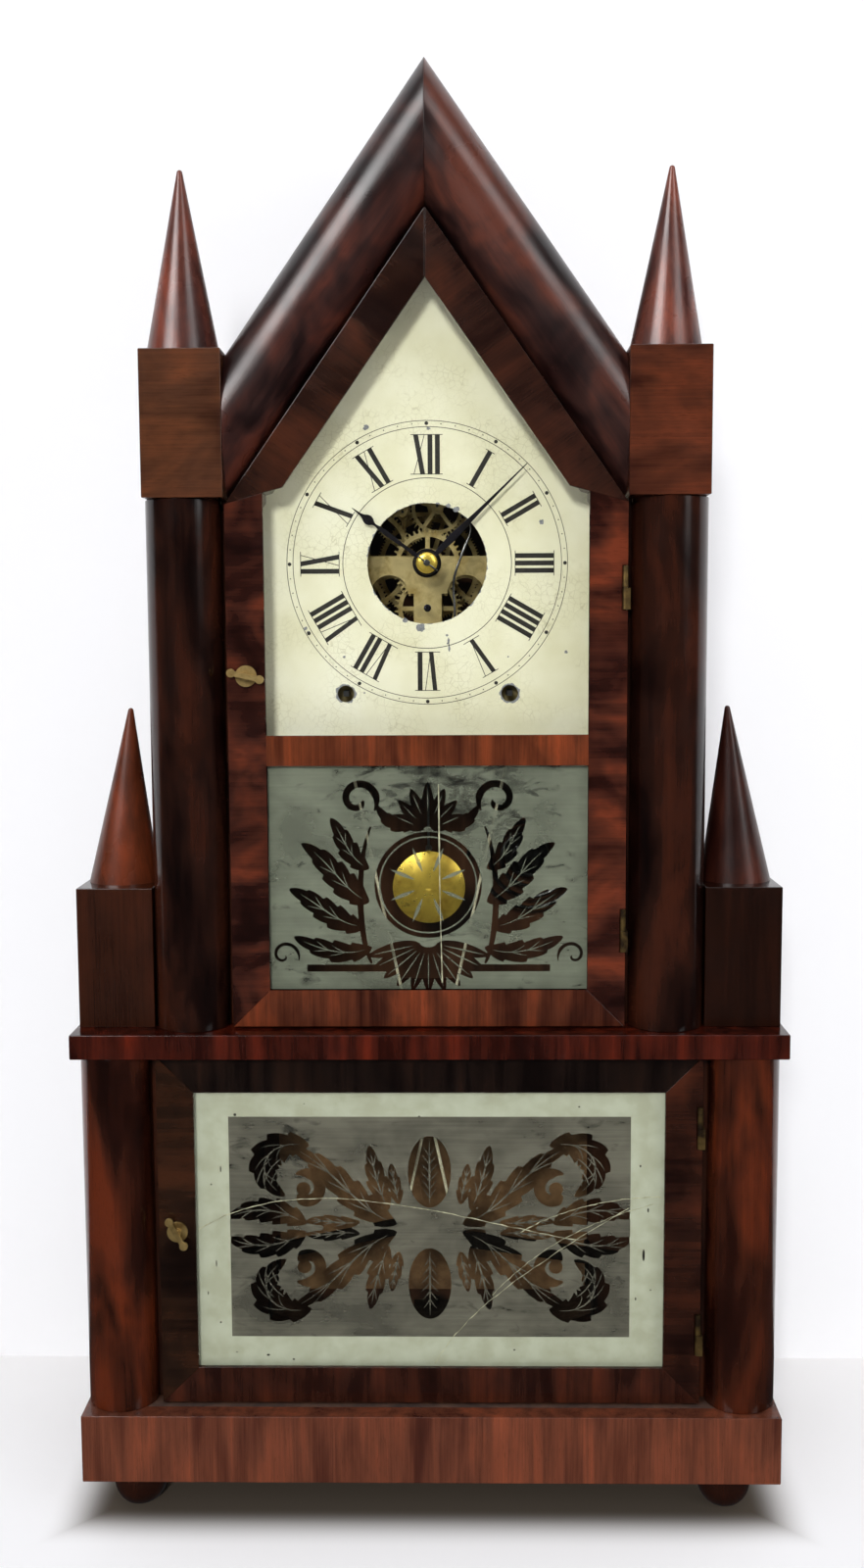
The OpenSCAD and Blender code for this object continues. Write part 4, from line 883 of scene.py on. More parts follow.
@dataclass
class Dial:
    """The painted dial with its numerals, rings and minute dots, and the two hands."""

    centre_z: float = 460.8 * MM
    face_y: float = -26.0 * MM
    ink: float = 0.03 * MM
    hour_angle: float = -53.6
    minute_angle: float = 45.8
    numerals: tuple[str, ...] = ("XII", "I", "II", "III", "IIII", "V", "VI", "VII", "VIII", "IX", "X", "XI")
    dot_r: float = 65.7
    foot_r: float = 42.0
    head_r: float = 60.4
    thick: float = 2.3
    thin: float = 0.34
    pitch: float = 3.5
    width: dict[str, float] = field(default_factory=lambda: {"I": 2.3, "V": 6.0, "X": 5.6})

    def strokes(self, numeral: str) -> list[tuple[Point, Point, float]]:
        """Lists a numeral's strokes.

        Args:
            numeral: The numeral, of the letters I, V and X.

        Returns:
            Each stroke's foot and head as (sideways, outwards) in millimetres, and its width.
        """
        spans = [self.width[letter] for letter in numeral]
        gap = self.pitch - self.width["I"]
        left = -(sum(spans) + gap * (len(spans) - 1)) / 2
        low, high = self.foot_r, self.head_r
        found: list[tuple[Point, Point, float]] = [
            ((left - 1.3, low), (-left + 1.3, low), self.thin),
            ((left - 1.3, high), (-left + 1.3, high), self.thin)]
        for letter, span in zip(numeral, spans):
            right = left + span
            half = self.thick / 2
            if letter == "I":
                found.append(((left + half, low), (left + half, high), self.thick))
            elif letter == "V":
                middle = (left + right) / 2
                found.append(((middle, low), (left + half, high), self.thick * 0.92))
                found.append(((middle + 0.3, low), (right - 0.2, high), self.thin))
            else:
                found.append(((right - half, low), (left + half, high), self.thick))
                found.append(((left + 0.3, low), (right - 0.3, high), self.thin))
            left = right + gap
        return found

    def build_numerals(self) -> None:
        """Paints the twelve numerals, each standing on the ring with its foot to the middle."""
        outlines: list[Piece] = []
        for hour, numeral in enumerate(self.numerals):
            turn = math.radians(hour * 30)
            for k, (foot, head, width) in enumerate(self.strokes(numeral)):
                along = Vector(head) - Vector(foot)
                side = Vector((-along.y, along.x)).normalized() * width / 2
                flat_ends = abs(along.y) > 1
                outline = []
                for base, sign in ((foot, 1), (foot, -1), (head, -1), (head, 1)):
                    offset = Vector((-sign * width / 2, 0)) if flat_ends else side * sign
                    outline.append(self.on_dial(Vector(base) + offset, turn))
                depth = self.ink * (1 + 0.1 * (k % 3))
                outlines.append(flat_shape("stroke", [outline], self.face_y - depth / 2, depth))
        dress(join("dial_numerals", outlines), "case", "dial_paint", INK)

    def on_dial(self, place: Vector, turn: float) -> Point:
        """Turns a place (sideways, outwards) in millimetres round the dial, clockwise from the top."""
        x = place.x * math.cos(turn) + place.y * math.sin(turn)
        z = -place.x * math.sin(turn) + place.y * math.cos(turn)
        return x * MM, self.centre_z + z * MM

    def circle(self, radius: float, at: Point = (0, 0), steps: int = 96) -> Outline:
        """Draws a circle on the dial, its sizes in millimetres from the dial's middle."""
        return [(x * MM, self.centre_z + z * MM) for x, z in oval(at, radius, radius, steps)]

    def build_rings(self) -> None:
        """Draws the three rings and the minute dots, every fifth one larger."""
        y = self.face_y - self.ink / 2
        rings = [flat_shape("ring", [self.circle(r, steps=180), self.circle(r - w, steps=180)], y, self.ink)
                 for r, w in ((67.1, 0.3), (64.2, 0.3), (40.4, 0.34))]
        dots = []
        for minute in range(60):
            turn, radius = math.radians(minute * 6), 0.3 if minute % 5 else 0.9
            at = (self.dot_r * math.sin(turn), self.dot_r * math.cos(turn))
            dots.append(flat_shape("dot", [self.circle(radius, at, 14)], y - self.ink * 0.2, self.ink * 1.4))
        dress(join("minute_ring", rings + dots), "case", "dial_paint", INK)

    def build_chips(self) -> None:
        """Lays the larger chips where the paint has gone from the zinc."""
        rng = random.Random(5)
        outlines = []
        # Places and sizes in millimetres, from the dial's middle
        for x, z, size in (
                (-28.6, 63.8, 1.5), (1.0, 63.2, 1.0), (54.5, 19.3, 1.3), (9.4, -34.0, 0.8), (9.8, -38.0, 0.7),
                (-58.5, -30.5, 1.0), (-57.0, -32.6, 1.1), (-40.0, -44.2, 0.8), (66.3, -42.3, 0.9),
                (38.6, -44.4, 0.5), (-3.0, -30.4, 2.4), (-10.8, -26.8, 1.4), (14.2, 25.4, 1.6),
                (10.2, 27.2, 1.2), (-30.4, -61.5, 0.6)):
            outline = []
            for k in range(14):
                a = math.tau * k / 14
                r = size * (0.62 + 0.55 * rng.random())
                outline.append((x + r * math.cos(a), z + r * math.sin(a) * 0.85))
            outlines.append(outline)
        # A long flake below the middle ring
        outlines.append([(10.0, -35.0), (10.7, -36.2), (10.4, -38.1), (11.0, -40.3), (10.6, -42.1),
                         (9.9, -41.0), (10.1, -38.6), (9.5, -36.6)])
        chips = [flat_shape("chip", [[(x * MM, self.centre_z + z * MM) for x, z in outline]],
                            self.face_y - 0.012 * MM, 0.02 * MM) for outline in outlines]
        dress(join("dial_chips", chips), "case", "dial_paint", ZINC)

    def blade(self, name: str, widths: Sequence[Point], angle: float, y: float, thickness: float) -> Piece:
        """Cuts a hand's blade.

        Args:
            name: The piece's name.
            widths: Places (distance from the middle, half width), in millimetres.
            angle: Its angle, clockwise from the top, in degrees.
            y: The depth of its middle.
            thickness: Its thickness, in metres.

        Returns:
            The blade, with filed edges.
        """
        turn = math.radians(angle)
        outline = [self.on_dial(Vector((w, r)), turn) for r, w in widths]
        outline += [self.on_dial(Vector((-w, r)), turn) for r, w in reversed(widths)]
        piece = flat_shape(name, [outline], y, thickness)
        with editing(piece):
            bpy.ops.mesh.remove_doubles(threshold=1e-6)
        soften(piece, 0.12 * MM, 2, 50)
        return piece

    def build_hands(self) -> None:
        """Makes both hands with their collets, and the pinned dome that holds them."""
        axis = (0, self.face_y, self.centre_z)
        thickness = 0.7 * MM
        hour = self.blade("hour_blade", [
            (2.0, 1.5), (8, 1.0), (14, 0.8), (19, 1.1), (24, 1.25), (27.5, 0.95), (30.2, 0.55), (31.5, 0.8),
            (32.8, 1.9), (34.3, 2.35), (35.8, 2.0), (37.4, 1.0), (39.2, 0.5), (42.0, 0.32), (44.0, 0.12)],
            self.hour_angle, self.face_y - 3.85 * MM, thickness)
        hub = turned("hour_hub", [
            (0.0, 2.6), (6.4, 2.6), (6.8, 3.0), (6.8, 4.2), (6.3, 4.8), (0.0, 4.9)], axis)
        dress(join("hour_hand_steel", [hour, hub]), "hour_hand", "steel", BLUED, "hour_hand")
        # Behind the dial the pipe and its wheel stay brass
        pipe = merged_copy("hour_hand", "hour_pipe")
        cut(pipe, (0, self.face_y - 2.7 * MM, 0), (0, -1, 0))
        dress(pipe, "hour_hand", "brass", BRASS, "hour_hand")
        minute = self.blade("minute_blade", [
            (2.0, 1.2), (7, 1.1), (12, 1.5), (16, 1.8), (20, 1.7), (27, 1.25), (36, 0.85), (48, 0.55),
            (58, 0.38), (66.0, 0.2)], self.minute_angle, self.face_y - 6.85 * MM, thickness)
        collar = turned("minute_collar", [(0.0, 6.0), (5.4, 6.0), (5.9, 6.5), (5.5, 7.6), (0.0, 7.7)], axis)
        dress(join("minute_hand_steel", [minute, collar]), "centre_arbor", "steel", BLUED, "minute_hand")
        dome = turned("hand_dome", [
            (0.0, 7.2), (4.9, 7.2), (5.0, 7.7), (4.5, 8.3), (3.4, 8.8), (2.2, 9.05), (0.0, 9.1)], axis)
        dress(dome, "centre_arbor", "brass", BOB_BRASS)
        bpy.ops.mesh.primitive_cube_add(size=2.5 * MM)
        square = bpy.context.active_object
        square.name = square.data.name = "arbor_square"
        place = Matrix.Translation((0, self.face_y - 8.9 * MM, self.centre_z))
        square.data.transform(place @ Matrix.Rotation(math.radians(33), 4, "Y"))
        soften(square, 0.2 * MM, 2, 40)
        turn = math.radians(-37)
        along = Vector((math.cos(turn), 0, math.sin(turn)))
        middle = Vector((0, self.face_y - 9.3 * MM, self.centre_z))
        knots = [middle + along * d * MM for d in (-5.2, -2, 2, 6.4)]
        pin = as_mesh(tube("taper_pin", knots, 0.42 * MM), "taper_pin")
        choose(pin)
        bpy.ops.object.shade_smooth_by_angle(angle=math.radians(50))
        dress(join("hand_pin", [square, pin]), "centre_arbor", "steel", STEEL)

    def build(self) -> None:
        """Makes the dial's paint, ink and hands."""
        paint("dial_plate", DialPaint("cream dial paint", self.centre_z))
        self.build_numerals()
        self.build_rings()
        self.build_chips()
        self.build_hands()


def bezier(points: Sequence[Point], t: float) -> Vector:
    """Finds the place at t on a Bezier curve through any number of control points."""
    row = [Vector(p) for p in points]
    while len(row) > 1:
        row = [a.lerp(b, t) for a, b in zip(row, row[1:])]
    return row[0]


def off_rib(path: Sequence[Point], t: float) -> tuple[Vector, Vector]:
    """Finds the place at t on a leaf's midrib, and the direction square to the rib there."""
    ahead = bezier(path, min(t + 0.01, 1)) - bezier(path, max(t - 0.01, 0))
    return bezier(path, t), Vector((-ahead.y, ahead.x)).normalized()


def closed(pairs: Sequence[tuple[Sequence[float], Sequence[float]]]) -> Outline:
    """Joins the pairs of points on a strip's two sides into one outline."""
    return [(a[0], a[1]) for a, _ in pairs] + [(b[0], b[1]) for _, b in reversed(pairs)]


def leaf(path: Sequence[Point], width: float, lobes: float, cut_in: float = 0.3, steps: int = 48) -> Outline:
    """Draws a lobed leaf along a curve.

    Args:
        path: The control points of its midrib, in millimetres.
        width: Its half width at the widest.
        lobes: How many lobes each side has.
        cut_in: How deep the cuts between lobes go, as a share of the width.
        steps: How many points each side has.

    Returns:
        The leaf's outline, in millimetres.
    """
    pairs = []
    for k in range(steps + 1):
        t = k / steps
        here, across = off_rib(path, t)
        body = math.sin(math.pi * min(1, t ** 0.8)) ** 0.75 if 0 < t < 1 else 0.0
        saw = (t * lobes) % 1
        w = width * body * (1 - cut_in * (1 - saw) ** 1.6) + 0.35
        pairs.append((here + across * w, here - across * w))
    return closed(pairs)


def vein(path: Sequence[Point], start: float, end: float, width: float, lean: float = 0.0,
         steps: int = 10) -> Outline:
    """Draws a slim vein inside a leaf, tapered at both ends.

    Args:
        path: The control points of the leaf's midrib, in millimetres.
        start: Where on the midrib it starts, from 0 to 1.
        end: Where it ends.
        width: Its half width.
        lean: How far its end moves sideways from the midrib.
        steps: How many points each side has.

    Returns:
        The vein's outline, in millimetres.
    """
    pairs = []
    for k in range(steps + 1):
        u = k / steps
        here, across = off_rib(path, start + (end - start) * u)
        w = width * math.sin(math.pi * (0.04 + 0.92 * u))
        offset = lean * u ** 1.3
        pairs.append((here + across * (offset + w), here + across * (offset - w)))
    return closed(pairs)


def scroll(centre: Point, radii: Point, angles: Point, widths: Point, steps: int = 60) -> Outline:
    """Draws a volute.

    Args:
        centre: Its eye, in millimetres.
        radii: Its radius at the start and at the end.
        angles: Its angles at the start and at the end, in degrees.
        widths: Its half width at the start and at the end.
        steps: How many points each side has.

    Returns:
        The volute's outline, in millimetres.
    """
    pairs = []
    for k in range(steps + 1):
        u = k / steps
        a = math.radians(angles[0] + (angles[1] - angles[0]) * u)
        r = radii[0] + (radii[1] - radii[0]) * u
        w = (widths[0] + (widths[1] - widths[0]) * u) * min(1, 0.25 + 6 * min(u, 1 - u))
        pairs.append([(centre[0] + side * math.cos(a), centre[1] + side * math.sin(a))
                      for side in (r + w, r - w)])
    return closed(pairs)


def oval(centre: Point, half_w: float, half_h: float, steps: int = 48) -> Outline:
    """Draws an ellipse, its sizes in millimetres."""
    return [(centre[0] + half_w * math.cos(math.tau * k / steps),
             centre[1] + half_h * math.sin(math.tau * k / steps)) for k in range(steps)]


def rectangle(half_w: float, low: float, high: float) -> Outline:
    """Draws an upright rectangle about the middle line."""
    return [(-half_w, low), (half_w, low), (half_w, high), (-half_w, high)]


def ray(foot: float, angle: float, near: Point, far: Point) -> Outline:
    """Draws a petal's rib away from a place on the middle line, between points of two ellipses."""
    return [(a * math.cos(angle), foot + b * math.sin(angle)) for a, b in (near, far)]


@dataclass
class Tablets:
    """The two glass tablets: frosting on the back of the glass, with ornament left clear in it."""

    upper_back: float = -43.98 * MM
    lower_back: float = -46.98 * MM
    pane: float = 2.03 * MM
    foil: float = 0.03 * MM
    upper_foot: float = 258.8
    middle: float = 141.2
    field_low: float = 86.5
    field_high: float = 196.4

    def placed(self, outlines: Sequence[Outline], base: float) -> list[Outline]:
        """Moves outlines in millimetres up by base and turns them into metres."""
        return [[(x * MM, (z + base) * MM) for x, z in outline] for outline in outlines]

    def mirrored(self, outlines: Sequence[Outline], x: int = -1, z: int = 1) -> list[Outline]:
        """Gives outlines and their mirror images, about the upright middle line unless told otherwise."""
        return [*outlines, *([(x * a, z * b) for a, b in reversed(o)] for o in outlines)]

    def upper_ornament(self) -> tuple[list[Outline], list[list[Outline]]]:
        """Draws the upper tablet's clear ornament: a cartouche between branches, under a palmette.

        Returns:
            The clear shapes and the frosted lines in them, in millimetres from the tablet's foot.
        """
        clear: list[Outline] = [oval((0, 50), 25.5, 25.5), rectangle(58, 8.2, 11.6)]
        lines: list[list[Outline]] = [[oval((0, 50), 23.4, 23.4), oval((0, 50), 22.7, 22.7)]]
        # Eight slim petals stay frosted inside the cartouche
        for k in range(8):
            path = ray(50, math.tau * k / 8 + math.tau / 16, (7, 7), (19, 19))
            lines.append([vein(path, 0, 1, 0.9)])
        side: list[Outline] = []
        side_lines: list[Outline] = []
        branches = [
            ([(28, 42), (40, 46), (46, 62), (60, 70)], 6.6, 5),
            ([(30, 30), (44, 30), (54, 44), (66, 48)], 6.0, 5),
            ([(27, 20), (40, 14), (54, 20), (64, 25)], 5.2, 4),
            ([(28, 58), (38, 62), (40, 74), (46, 82)], 5.0, 4)]
        for path, width, lobes in branches:
            side.append(leaf(path, width, lobes))
            side_lines.append(vein(path, 0.1, 0.85, 0.3))
            for lean in (-0.5, 0.5):
                side_lines += [vein(path, start, start + 0.2, 0.2, lean * width) for start in (0.3, 0.5)]
        side.append(leaf([(27, 12), (34, 26), (34, 62), (27, 78)], 1.1, 1, 0.0))
        side.append(scroll((33, 91), (9.5, 2.5), (215, -170), (1.9, 1.4)))
        side.append(leaf([(6, 79), (14, 77), (20, 80), (24, 88)], 3.6, 4))
        side.append(scroll((69, 16), (0.5, 7.5), (180, 560), (0.6, 0.9)))
        clear += self.mirrored(side)
        lines += [[line] for line in self.mirrored(side_lines)]
        # A palmette of seven petals crowns the cartouche
        for k in range(-3, 4):
            reach = 23 - 1.6 * abs(k)
            path = ray(76, math.radians(90 - 22 * k), (2, 2), (reach, reach))
            clear.append(leaf(path, 2.9, 1, 0.0, 20))
            lines.append([vein(path, 0.35, 0.85, 0.28)])
        # A fan of petals spreads below the cartouche
        for k in range(-5, 6):
            path = ray(22, math.radians(-90 - 15 * k), (4, 2), (30, 24))
            clear.append(leaf(path, 3.2, 1, 0.0, 16))
            lines.append([vein(path, 0.15, 0.9, 0.3)])
        return clear, lines

    def lower_ornament(self) -> tuple[list[Outline], list[list[Outline]]]:
        """Draws the lower tablet's clear ornament: two oval leaves between sweeping acanthus sprays.

        Returns:
            The clear shapes, and the frosted lines inside them, in millimetres from the tablet's middle.
        """
        quarter: list[Outline] = []
        lines: list[Outline] = []
        sprays = [
            ([(16, 2), (36, 8), (44, 30), (68, 41)], 7.2, 6),
            ([(58, 41), (80, 46), (88, 26), (70, 16)], 8.4, 6),
            ([(20, 9), (25, 20), (27, 30), (29, 41)], 5.2, 4),
            ([(15, 12), (16, 19), (18, 25), (18.5, 32)], 3.2, 3),
            ([(60, 2), (72, 10), (86, 11), (98, 5)], 6.4, 5), ([(34, 3), (44, 1), (52, 5), (60, 3)], 3.4, 3)]
        for path, width, lobes in sprays:
            quarter.append(leaf(path, width, lobes))
            lines.append(vein(path, 0.08, 0.92, 0.42))
            for lean in (-0.62, 0.62):
                lines += [vein(path, start, start + 0.22, 0.26, lean * width * (1.1 - start * 0.6))
                          for start in (0.2, 0.42, 0.64)]
        quarter.append(scroll((60, 19), (9.0, 4.0), (60, 330), (2.4, 3.4)))
        quarter.append(oval((61, 19.5), 3.4, 3.4))
        for k in range(4):
            radii = (13.5 + 3.4 * k, 12.5 + 3.4 * k)
            lines.append(scroll((60, 19), radii, (8, 72 - 9 * k), (0.28, 0.28), 20))
        clear = self.mirrored(self.mirrored(quarter, 1, -1))
        lines = self.mirrored(self.mirrored(lines, 1, -1))
        for s in (-1, 1):
            clear.append(oval((0, s * 28), 10.4, 17.8))
            stem = [(0, s * 12), (0, s * 44)]
            lines.append(vein(stem, 0, 1, 0.4))
            for k in range(6):
                start, bow = 0.08 + 0.13 * k, 1 - 0.12 * abs(k - 2.5)
                lines += [vein(stem, start, 0.24 + 0.13 * k, 0.22, lean * bow) for lean in (-4.4, 4.4)]
        return clear, [[line] for line in lines]

    def frosted(self, name: str, sheet: Outline, ornament: tuple[list[Outline], list[list[Outline]]],
                base: float, y: float) -> Piece:
        """Lays frosting on a pane, scrapes the ornament clear in it and leaves the fine lines standing.

        Args:
            name: The name of the piece.
            sheet: The frosting's outline, in millimetres.
            ornament: The clear shapes, and the frosted lines inside them.
            base: The height that the outlines are counted from, in millimetres.
            y: The depth of the frosting.

        Returns:
            The frosting as one thin piece.
        """
        clear, lines = ornament
        frosting = flat_shape(name, self.placed([sheet], base), y, self.foil)
        scraper = join("scraper", [
            flat_shape("clear", self.placed([shape], base), y, 0.4 * MM) for shape in clear])
        scrape = frosting.modifiers.new("scraped", "BOOLEAN")
        scrape.solver = "EXACT"
        scrape.use_self = True
        scrape.object = scraper
        choose(frosting)
        bpy.ops.object.modifier_apply(modifier=scrape.name)
        bpy.data.objects.remove(scraper)
        fine = [flat_shape("line", self.placed(line, base), y + 1.4 * self.foil, self.foil) for line in lines]
        return join(name, [frosting, *fine])

    def ribbon(self, name: str, points: Sequence[Point], width: float, y: float) -> Piece:
        """Lays a narrow ribbon through places (x, z) in millimetres."""
        pairs = []
        for k, (x, z) in enumerate(points):
            before, after = points[max(k - 1, 0)], points[min(k + 1, len(points) - 1)]
            along = (Vector(after) - Vector(before)).normalized()
            w = width * (0.6 + 0.4 * math.sin(k * 2.3)) / 2
            pairs.append((((x - along.y * w) * MM, (z + along.x * w) * MM),
                          ((x + along.y * w) * MM, (z - along.x * w) * MM)))
        return flat_shape(name, [closed(pairs)], y, self.foil)

    def crack(self, name: str, path: Sequence[Point], width: float, seed: int) -> Piece:
        """Draws one crack of the lower pane along a curve, with a slight shake."""
        rng = random.Random(seed)
        points = []
        for k in range(41):
            p = bezier(path, k / 40)
            points.append((p.x + rng.uniform(-0.22, 0.22), p.y + rng.uniform(-0.22, 0.22)))
        return self.ribbon(name, points, width, self.lower_back - self.pane)

    def build(self) -> None:
        """Makes both tablets and the dial glass."""
        paint("dial_glass", CLEAR)
        paint("upper_tablet", TABLET_CLEAR)
        paint("lower_tablet", TABLET_CLEAR)
        slot = "frosted_glass"
        frosting = self.frosted("upper_tablet_frosting", rectangle(79, -3.5, 110.5), self.upper_ornament(),
                                self.upper_foot, self.upper_back)
        dress(frosting, "upper_door", slot, UPPER_FROST)
        scratch = self.ribbon("upper_tablet_scratch", [(5.2, 357), (5.4, 330), (5.7, 300), (6.6, 262)], 0.8,
                              self.upper_back - self.pane)
        dress(scratch, "upper_door", slot, CRACK)
        low, high, middle = self.field_low, self.field_high, self.middle
        field = rectangle(96.9, low - middle - 0.2, high - middle + 0.2)
        frosting = self.frosted("lower_tablet_frosting", field, self.lower_ornament(), middle, self.lower_back)
        dress(frosting, "lower_door", slot, LOWER_FROST)
        border = self.placed([rectangle(116, 69.4, 213.0), rectangle(96.7, low, high)], 0)
        border = flat_shape("lower_tablet_border", border, self.lower_back + 0.02 * MM, self.foil)
        dress(border, "lower_door", slot, CELADON)
        # Flecks where the border's paint has gone, as (x, z, half width, half height) from the middle. Each is
        # a dark ink sheet in place of the view through the bare glass: painted shade of the case's dim inside
        y = self.lower_back - 0.03 * MM
        flecks = [
            flat_shape("fleck", self.placed([oval((x, z), w, h, 12)], middle), y, self.foil) for x, z, w, h in (
                (-93.6, 56.4, 0.7, 0.7), (-4.8, 55.6, 0.5, 0.35), (-101, 29.4, 0.3, 1.6),
                (-105.7, 21.7, 0.4, 0.4), (-103.9, -17.9, 0.28, 1.8), (-102.3, -47.8, 0.45, 0.45),
                (-79.3, -64.4, 0.8, 0.5), (-66.9, -66.6, 0.6, 0.4), (-94.7, -63, 0.35, 0.3),
                (103.5, -13.5, 0.6, 3.0), (105.5, 9.0, 0.4, 1.1), (101.6, 31.0, 0.4, 0.6),
                (72.0, 60.3, 0.5, 0.35), (41.0, -61.5, 0.5, 0.4), (99.8, -35.5, 0.35, 0.8),
                (107.0, -31.0, 0.3, 0.4), (-60.2, 61.8, 0.3, 0.3), (-108.2, -33.0, 0.25, 0.9))]
        dress(join("lower_tablet_flecks_painted_shade", flecks), "lower_door", slot, INK)
        # Each crack as its curve, width and seed
        cracks = [self.crack("crack", *line) for line in (
            ([(-112, 141), (-70, 168), (-20, 158), (36, 142), (72, 136)], 0.55, 3),
            ([(44, 140), (60, 150), (86, 158), (112, 157.5)], 0.55, 4),
            ([(2, 73), (14, 96), (40, 118), (96, 152)], 0.4, 5),
            ([(30, 108), (48, 128), (70, 144), (108, 154)], 0.35, 6))]
        dress(join("lower_tablet_cracks", cracks), "lower_door", slot, CRACK)


@dataclass
class Movement:
    """The brass movement, its pendulum and gong, and the leaf spring with its levers and cords."""

    dial_z: float = 460.8 * MM
    great: Point = (39.4 * MM, -61.9 * MM)
    second: Point = (44.48 * MM, -22.32 * MM)
    third: Point = (33.56 * MM, 4.0 * MM)
    fourth: Point = (-12.01 * MM, 25.29 * MM)
    escape: Point = (4.78 * MM, 27.95 * MM)
    fly: Point = (40.96 * MM, 31.63 * MM)
    minute_stud: Point = (0.0, -21.0 * MM)
    arbor_r: float = 1.55 * MM
    bob: Point = (0.0, 303.8 * MM)
    bob_r: float = 18.2 * MM
    cord_d: float = 1.6 * MM
    lever_l: float = 96.0
    lever_y: float = 6.5 * MM
    pivot: Point = (108.54, 100.8)
    levers: tuple[tuple[str, int, float], ...] = (("left_lever", -1, 12.0), ("right_lever", 1, 8.0))

    def axis(self, at: Point, side: int = 1) -> Point:
        """Gives a movement place in the row frame."""
        return side * at[0], self.dial_z + at[1]

    def build(self) -> None:
        """Dresses every part of the movement."""
        for node in ("front_plate", "back_plate"):
            paint(node, BRASS)
        for name, at in (("drum", self.great), ("great_wheel", self.great), ("second_wheel", self.second),
                         ("third_wheel", self.third)):
            for train, side in (("time", -1), ("strike", 1)):
                self.paint_wheel(f"{train}_{name}", at, side)
        for name, at in (("centre_wheel", (0, 0)), ("fourth_wheel", self.fourth), ("fly", self.fly),
                         ("escape_wheel", self.escape), ("minute_wheel", self.minute_stud)):
            self.paint_wheel(name, at)
        for node in ("movement_posts", "verge", "gong", "strike_hammer"):
            paint(node, STEEL)
        paint("spring_bracket", IRON)
        paint("leaf_spring", LEAF_STEEL)
        paint_two("pendulum", STEEL, BOB_BRASS, round_axis(self.bob, self.bob_r))
        for node, side, tilt in self.levers:
            paint_two(node, IRON, OLD_BRASS, self.on_link(side, tilt))
        self.build_nut()
        self.build_cords()

    def paint_wheel(self, node: str, at: Point, side: int = 1) -> None:
        """Paints a wheel as brass with its arbor of steel."""
        paint_two(node, BRASS, STEEL, round_axis(self.axis(at, side), self.arbor_r))

    def lever_tip(self, side: int, tilt: float) -> Vector:
        """Gives the place (x, z) of a lever's free end at rest, in millimetres."""
        t = math.radians(tilt)
        return Vector((side * (self.pivot[0] - self.lever_l * math.cos(t)),
                       self.pivot[1] + self.lever_l * math.sin(t)))

    def on_link(self, side: int, tilt: float) -> Callable[[Vector], bool]:
        """Makes the test for the brass link beside a lever's end, which takes the cord."""
        x, z = self.lever_tip(side, tilt) * MM
        pin_r, link_reach, beside = 1.35 * MM, 14 * MM, 1.6 * MM
        return lambda middle: (side * (self.lever_y - middle.y) > beside
                               and pin_r < math.hypot(middle.x - x, middle.z - z) < link_reach)

    def build_nut(self) -> None:
        """Turns the nut on the stud of the minute wheel, on the front plate below the hands."""
        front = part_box("front_plate")[0][1]
        profile = [(0.0, 0.0), (1.8, 0.0), (1.8, 0.7), (1.3, 1.0), (0.9, 1.0), (0.8, 0.6), (0.0, 0.6)]
        nut = turned("minute_stud_nut", profile, (0, front + 0.3 * MM, self.dial_z + self.minute_stud[1]), 24)
        dress(nut, "case", "steel", BLUED)

    def build_cords(self) -> None:
        """Strings the two cords from the drums to the lever links, taut and crossing below the shelf."""
        # From a drum's middle to its cord, and from a lever's tip to its cord, in millimetres
        drum_reach, link = 7.65, 11
        for (_, side, tilt), name, y in zip(self.levers, ("strike_cord", "time_cord"), (10.5, 2.5)):
            tip = self.lever_tip(side, tilt)
            hub = Vector((-side * self.great[0] / MM, (self.dial_z + self.great[1]) / MM))
            end = tip + (hub - tip).normalized() * link
            toward = end - hub
            turn = side * math.acos(drum_reach / toward.length)
            u = toward.normalized()
            start = hub + drum_reach * Vector((u.x * math.cos(turn) + u.y * math.sin(turn),
                                               u.y * math.cos(turn) - u.x * math.sin(turn)))
            points = [(p.x * MM, y * MM, p.y * MM) for p in (start.lerp(end, n / 19) for n in range(20))]
            cord = tube(name, points, self.cord_d / 2)
            cord.data.materials.append(LINE.build())
            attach(cord, "case")
            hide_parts("lift_cords")
            LOG.info("strung %s", name)


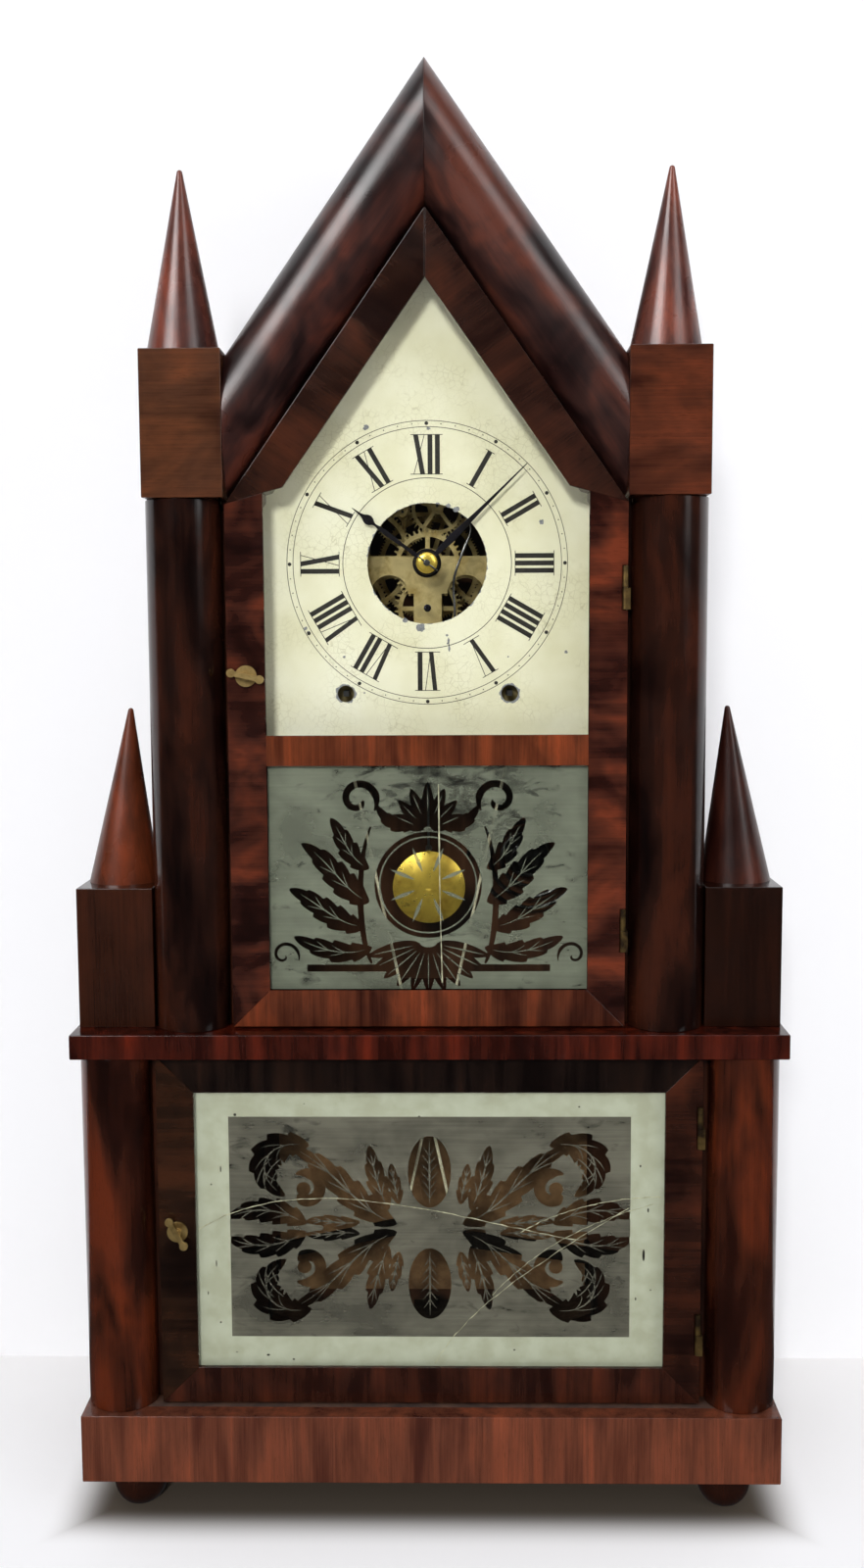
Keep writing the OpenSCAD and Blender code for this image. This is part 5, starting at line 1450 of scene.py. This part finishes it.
@dataclass
class Studio:
    """The white studio: floor, wall, lamps and the camera at the photograph's angle."""

    eye: tuple[float, float, float] = (0.0136, -0.7477, 0.4282)
    wall_y: float = 0.104
    lens: float = 34.43
    ambient: float = 0.33
    mirrored: float = 0.04

    def sheet(self, name: str, corners: Sequence[Sequence[float]], finish: Backdrop) -> None:
        """Spreads one sheet of backdrop paper between four corners."""
        mesh = bpy.data.meshes.new(name)
        mesh.from_pydata([tuple(c) for c in corners], [], [tuple(range(len(corners)))])
        piece = linked(name, mesh)
        piece.data.materials.append(finish.build())
        piece.visible_glossy = not name.startswith("floor")

    def lamp(self, name: str, place: Sequence[float], aim: Sequence[float], size: float, power: float,
             light: bool = True, shine: bool = True) -> None:
        """Hangs a soft square lamp and aims it, to light what it meets, to shine in the polish, or both."""
        data = bpy.data.lights.new(name, "AREA")
        data.shape = "SQUARE"
        data.size = size
        data.energy = power
        lamp = bpy.data.objects.new(name, data)
        bpy.context.scene.collection.objects.link(lamp)
        lamp.location = place
        lamp.visible_diffuse, lamp.visible_glossy = light, shine
        lamp.rotation_mode = "QUATERNION"
        lamp.rotation_quaternion = (Vector(aim) - Vector(place)).to_track_quat("-Z", "Y")

    def build(self) -> None:
        """Sets up the camera, the paper, the lamps and the world."""
        camera = bpy.data.objects.new("camera", bpy.data.cameras.new("camera"))
        bpy.context.scene.collection.objects.link(camera)
        right = Vector((0.99986277, 0.01581441, -0.00493342))
        up = Vector((0.00331612, 0.10070846, 0.99491045))
        back = Vector((0.01623076, -0.99479028, 0.1006422))
        turn = Matrix((right, up, back)).transposed().to_4x4()
        camera.matrix_world = Matrix.Translation(self.eye) @ turn
        camera.data.sensor_fit = "AUTO"
        camera.data.sensor_width = 36.0
        camera.data.lens = self.lens
        camera.data.clip_start, camera.data.clip_end = 0.01, 50
        bpy.context.scene.camera = camera
        # The polish mirrors the dim room, not the bright floor, and stays dark
        near, wide, tall = -4.0, 4.0, 4.0
        low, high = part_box("base_plinth")
        painted_shadow_footprint = (high[0], (low[1] + high[1]) / 2, (high[1] - low[1]) / 2)
        far, wall = self.wall_y + 3, self.wall_y
        self.sheet("floor", [(-wide, near, 0), (wide, near, 0), (wide, far, 0), (-wide, far, 0)],
                   Backdrop("floor paper", "#f4f2f1", 0.86, False, painted_shadow_footprint))
        self.sheet("wall", [(-wide, wall, 0), (wide, wall, 0), (wide, wall, tall), (-wide, wall, tall)],
                   Backdrop("wall paper", "#f4f4f6", 0.72, True))
        self.lamp("key", (-0.3, -2.25, 1.12), (0, 0, 0.35), 0.3, 37, shine=False)
        self.lamp("left shine", (-1.15, -1.5, 1.75), (0, 0, 0.4), 1.1, 64, light=False)
        self.lamp("right shine", (1.2, -1.3, 1.7), (0, 0, 0.4), 0.9, 16, light=False)
        self.lamp("right softbox", (1.3, -1.1, 0.9), (0, 0, 0.35), 0.5, 4)
        self.lamp("overhead", (0, -0.4, 1.9), (0, 0, 0.3), 0.9, 6)
        self.lamp("back fill", (0.4, 1.8, 1.0), (0, 0, 0.35), 1.0, 12)
        world = bpy.data.worlds.new("studio air")
        bpy.context.scene.world = world
        world.use_nodes = True
        air = world.node_tree
        path = add_node(air, "LightPath")
        # The eye sees white behind the clock; polish and glass mirror the dim room in front of it
        seen = add_node(air, "Math", {0: path.outputs["Is Camera Ray"], 1: 1 - self.ambient, 2: self.ambient},
                        operation="MULTIPLY_ADD")
        level = add_node(air, "Math", {
            0: path.outputs["Is Glossy Ray"], 1: self.mirrored - self.ambient, 2: seen.outputs[0]},
            operation="MULTIPLY_ADD")
        air.nodes["Background"].inputs["Color"].default_value = hue("#fdfdff")
        air.links.new(level.outputs[0], air.nodes["Background"].inputs["Strength"])
        bpy.context.scene.view_settings.view_transform = "Standard"


def corners(pair: tuple[Vector, Vector]) -> list[list[float]]:
    """Turns a box's two corners into plain lists."""
    return [[float(c) for c in corner] for corner in pair]


def main() -> None:
    """Builds the studio and every sub-assembly of the clock in order."""
    logging.basicConfig(level=logging.INFO, format="%(name)s: %(message)s")
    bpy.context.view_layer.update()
    Studio().build()
    Movement().build()
    Case().build()
    DoorFrames().build()
    Dial().build()
    Tablets().build()


if __name__ == "__main__":
    main()
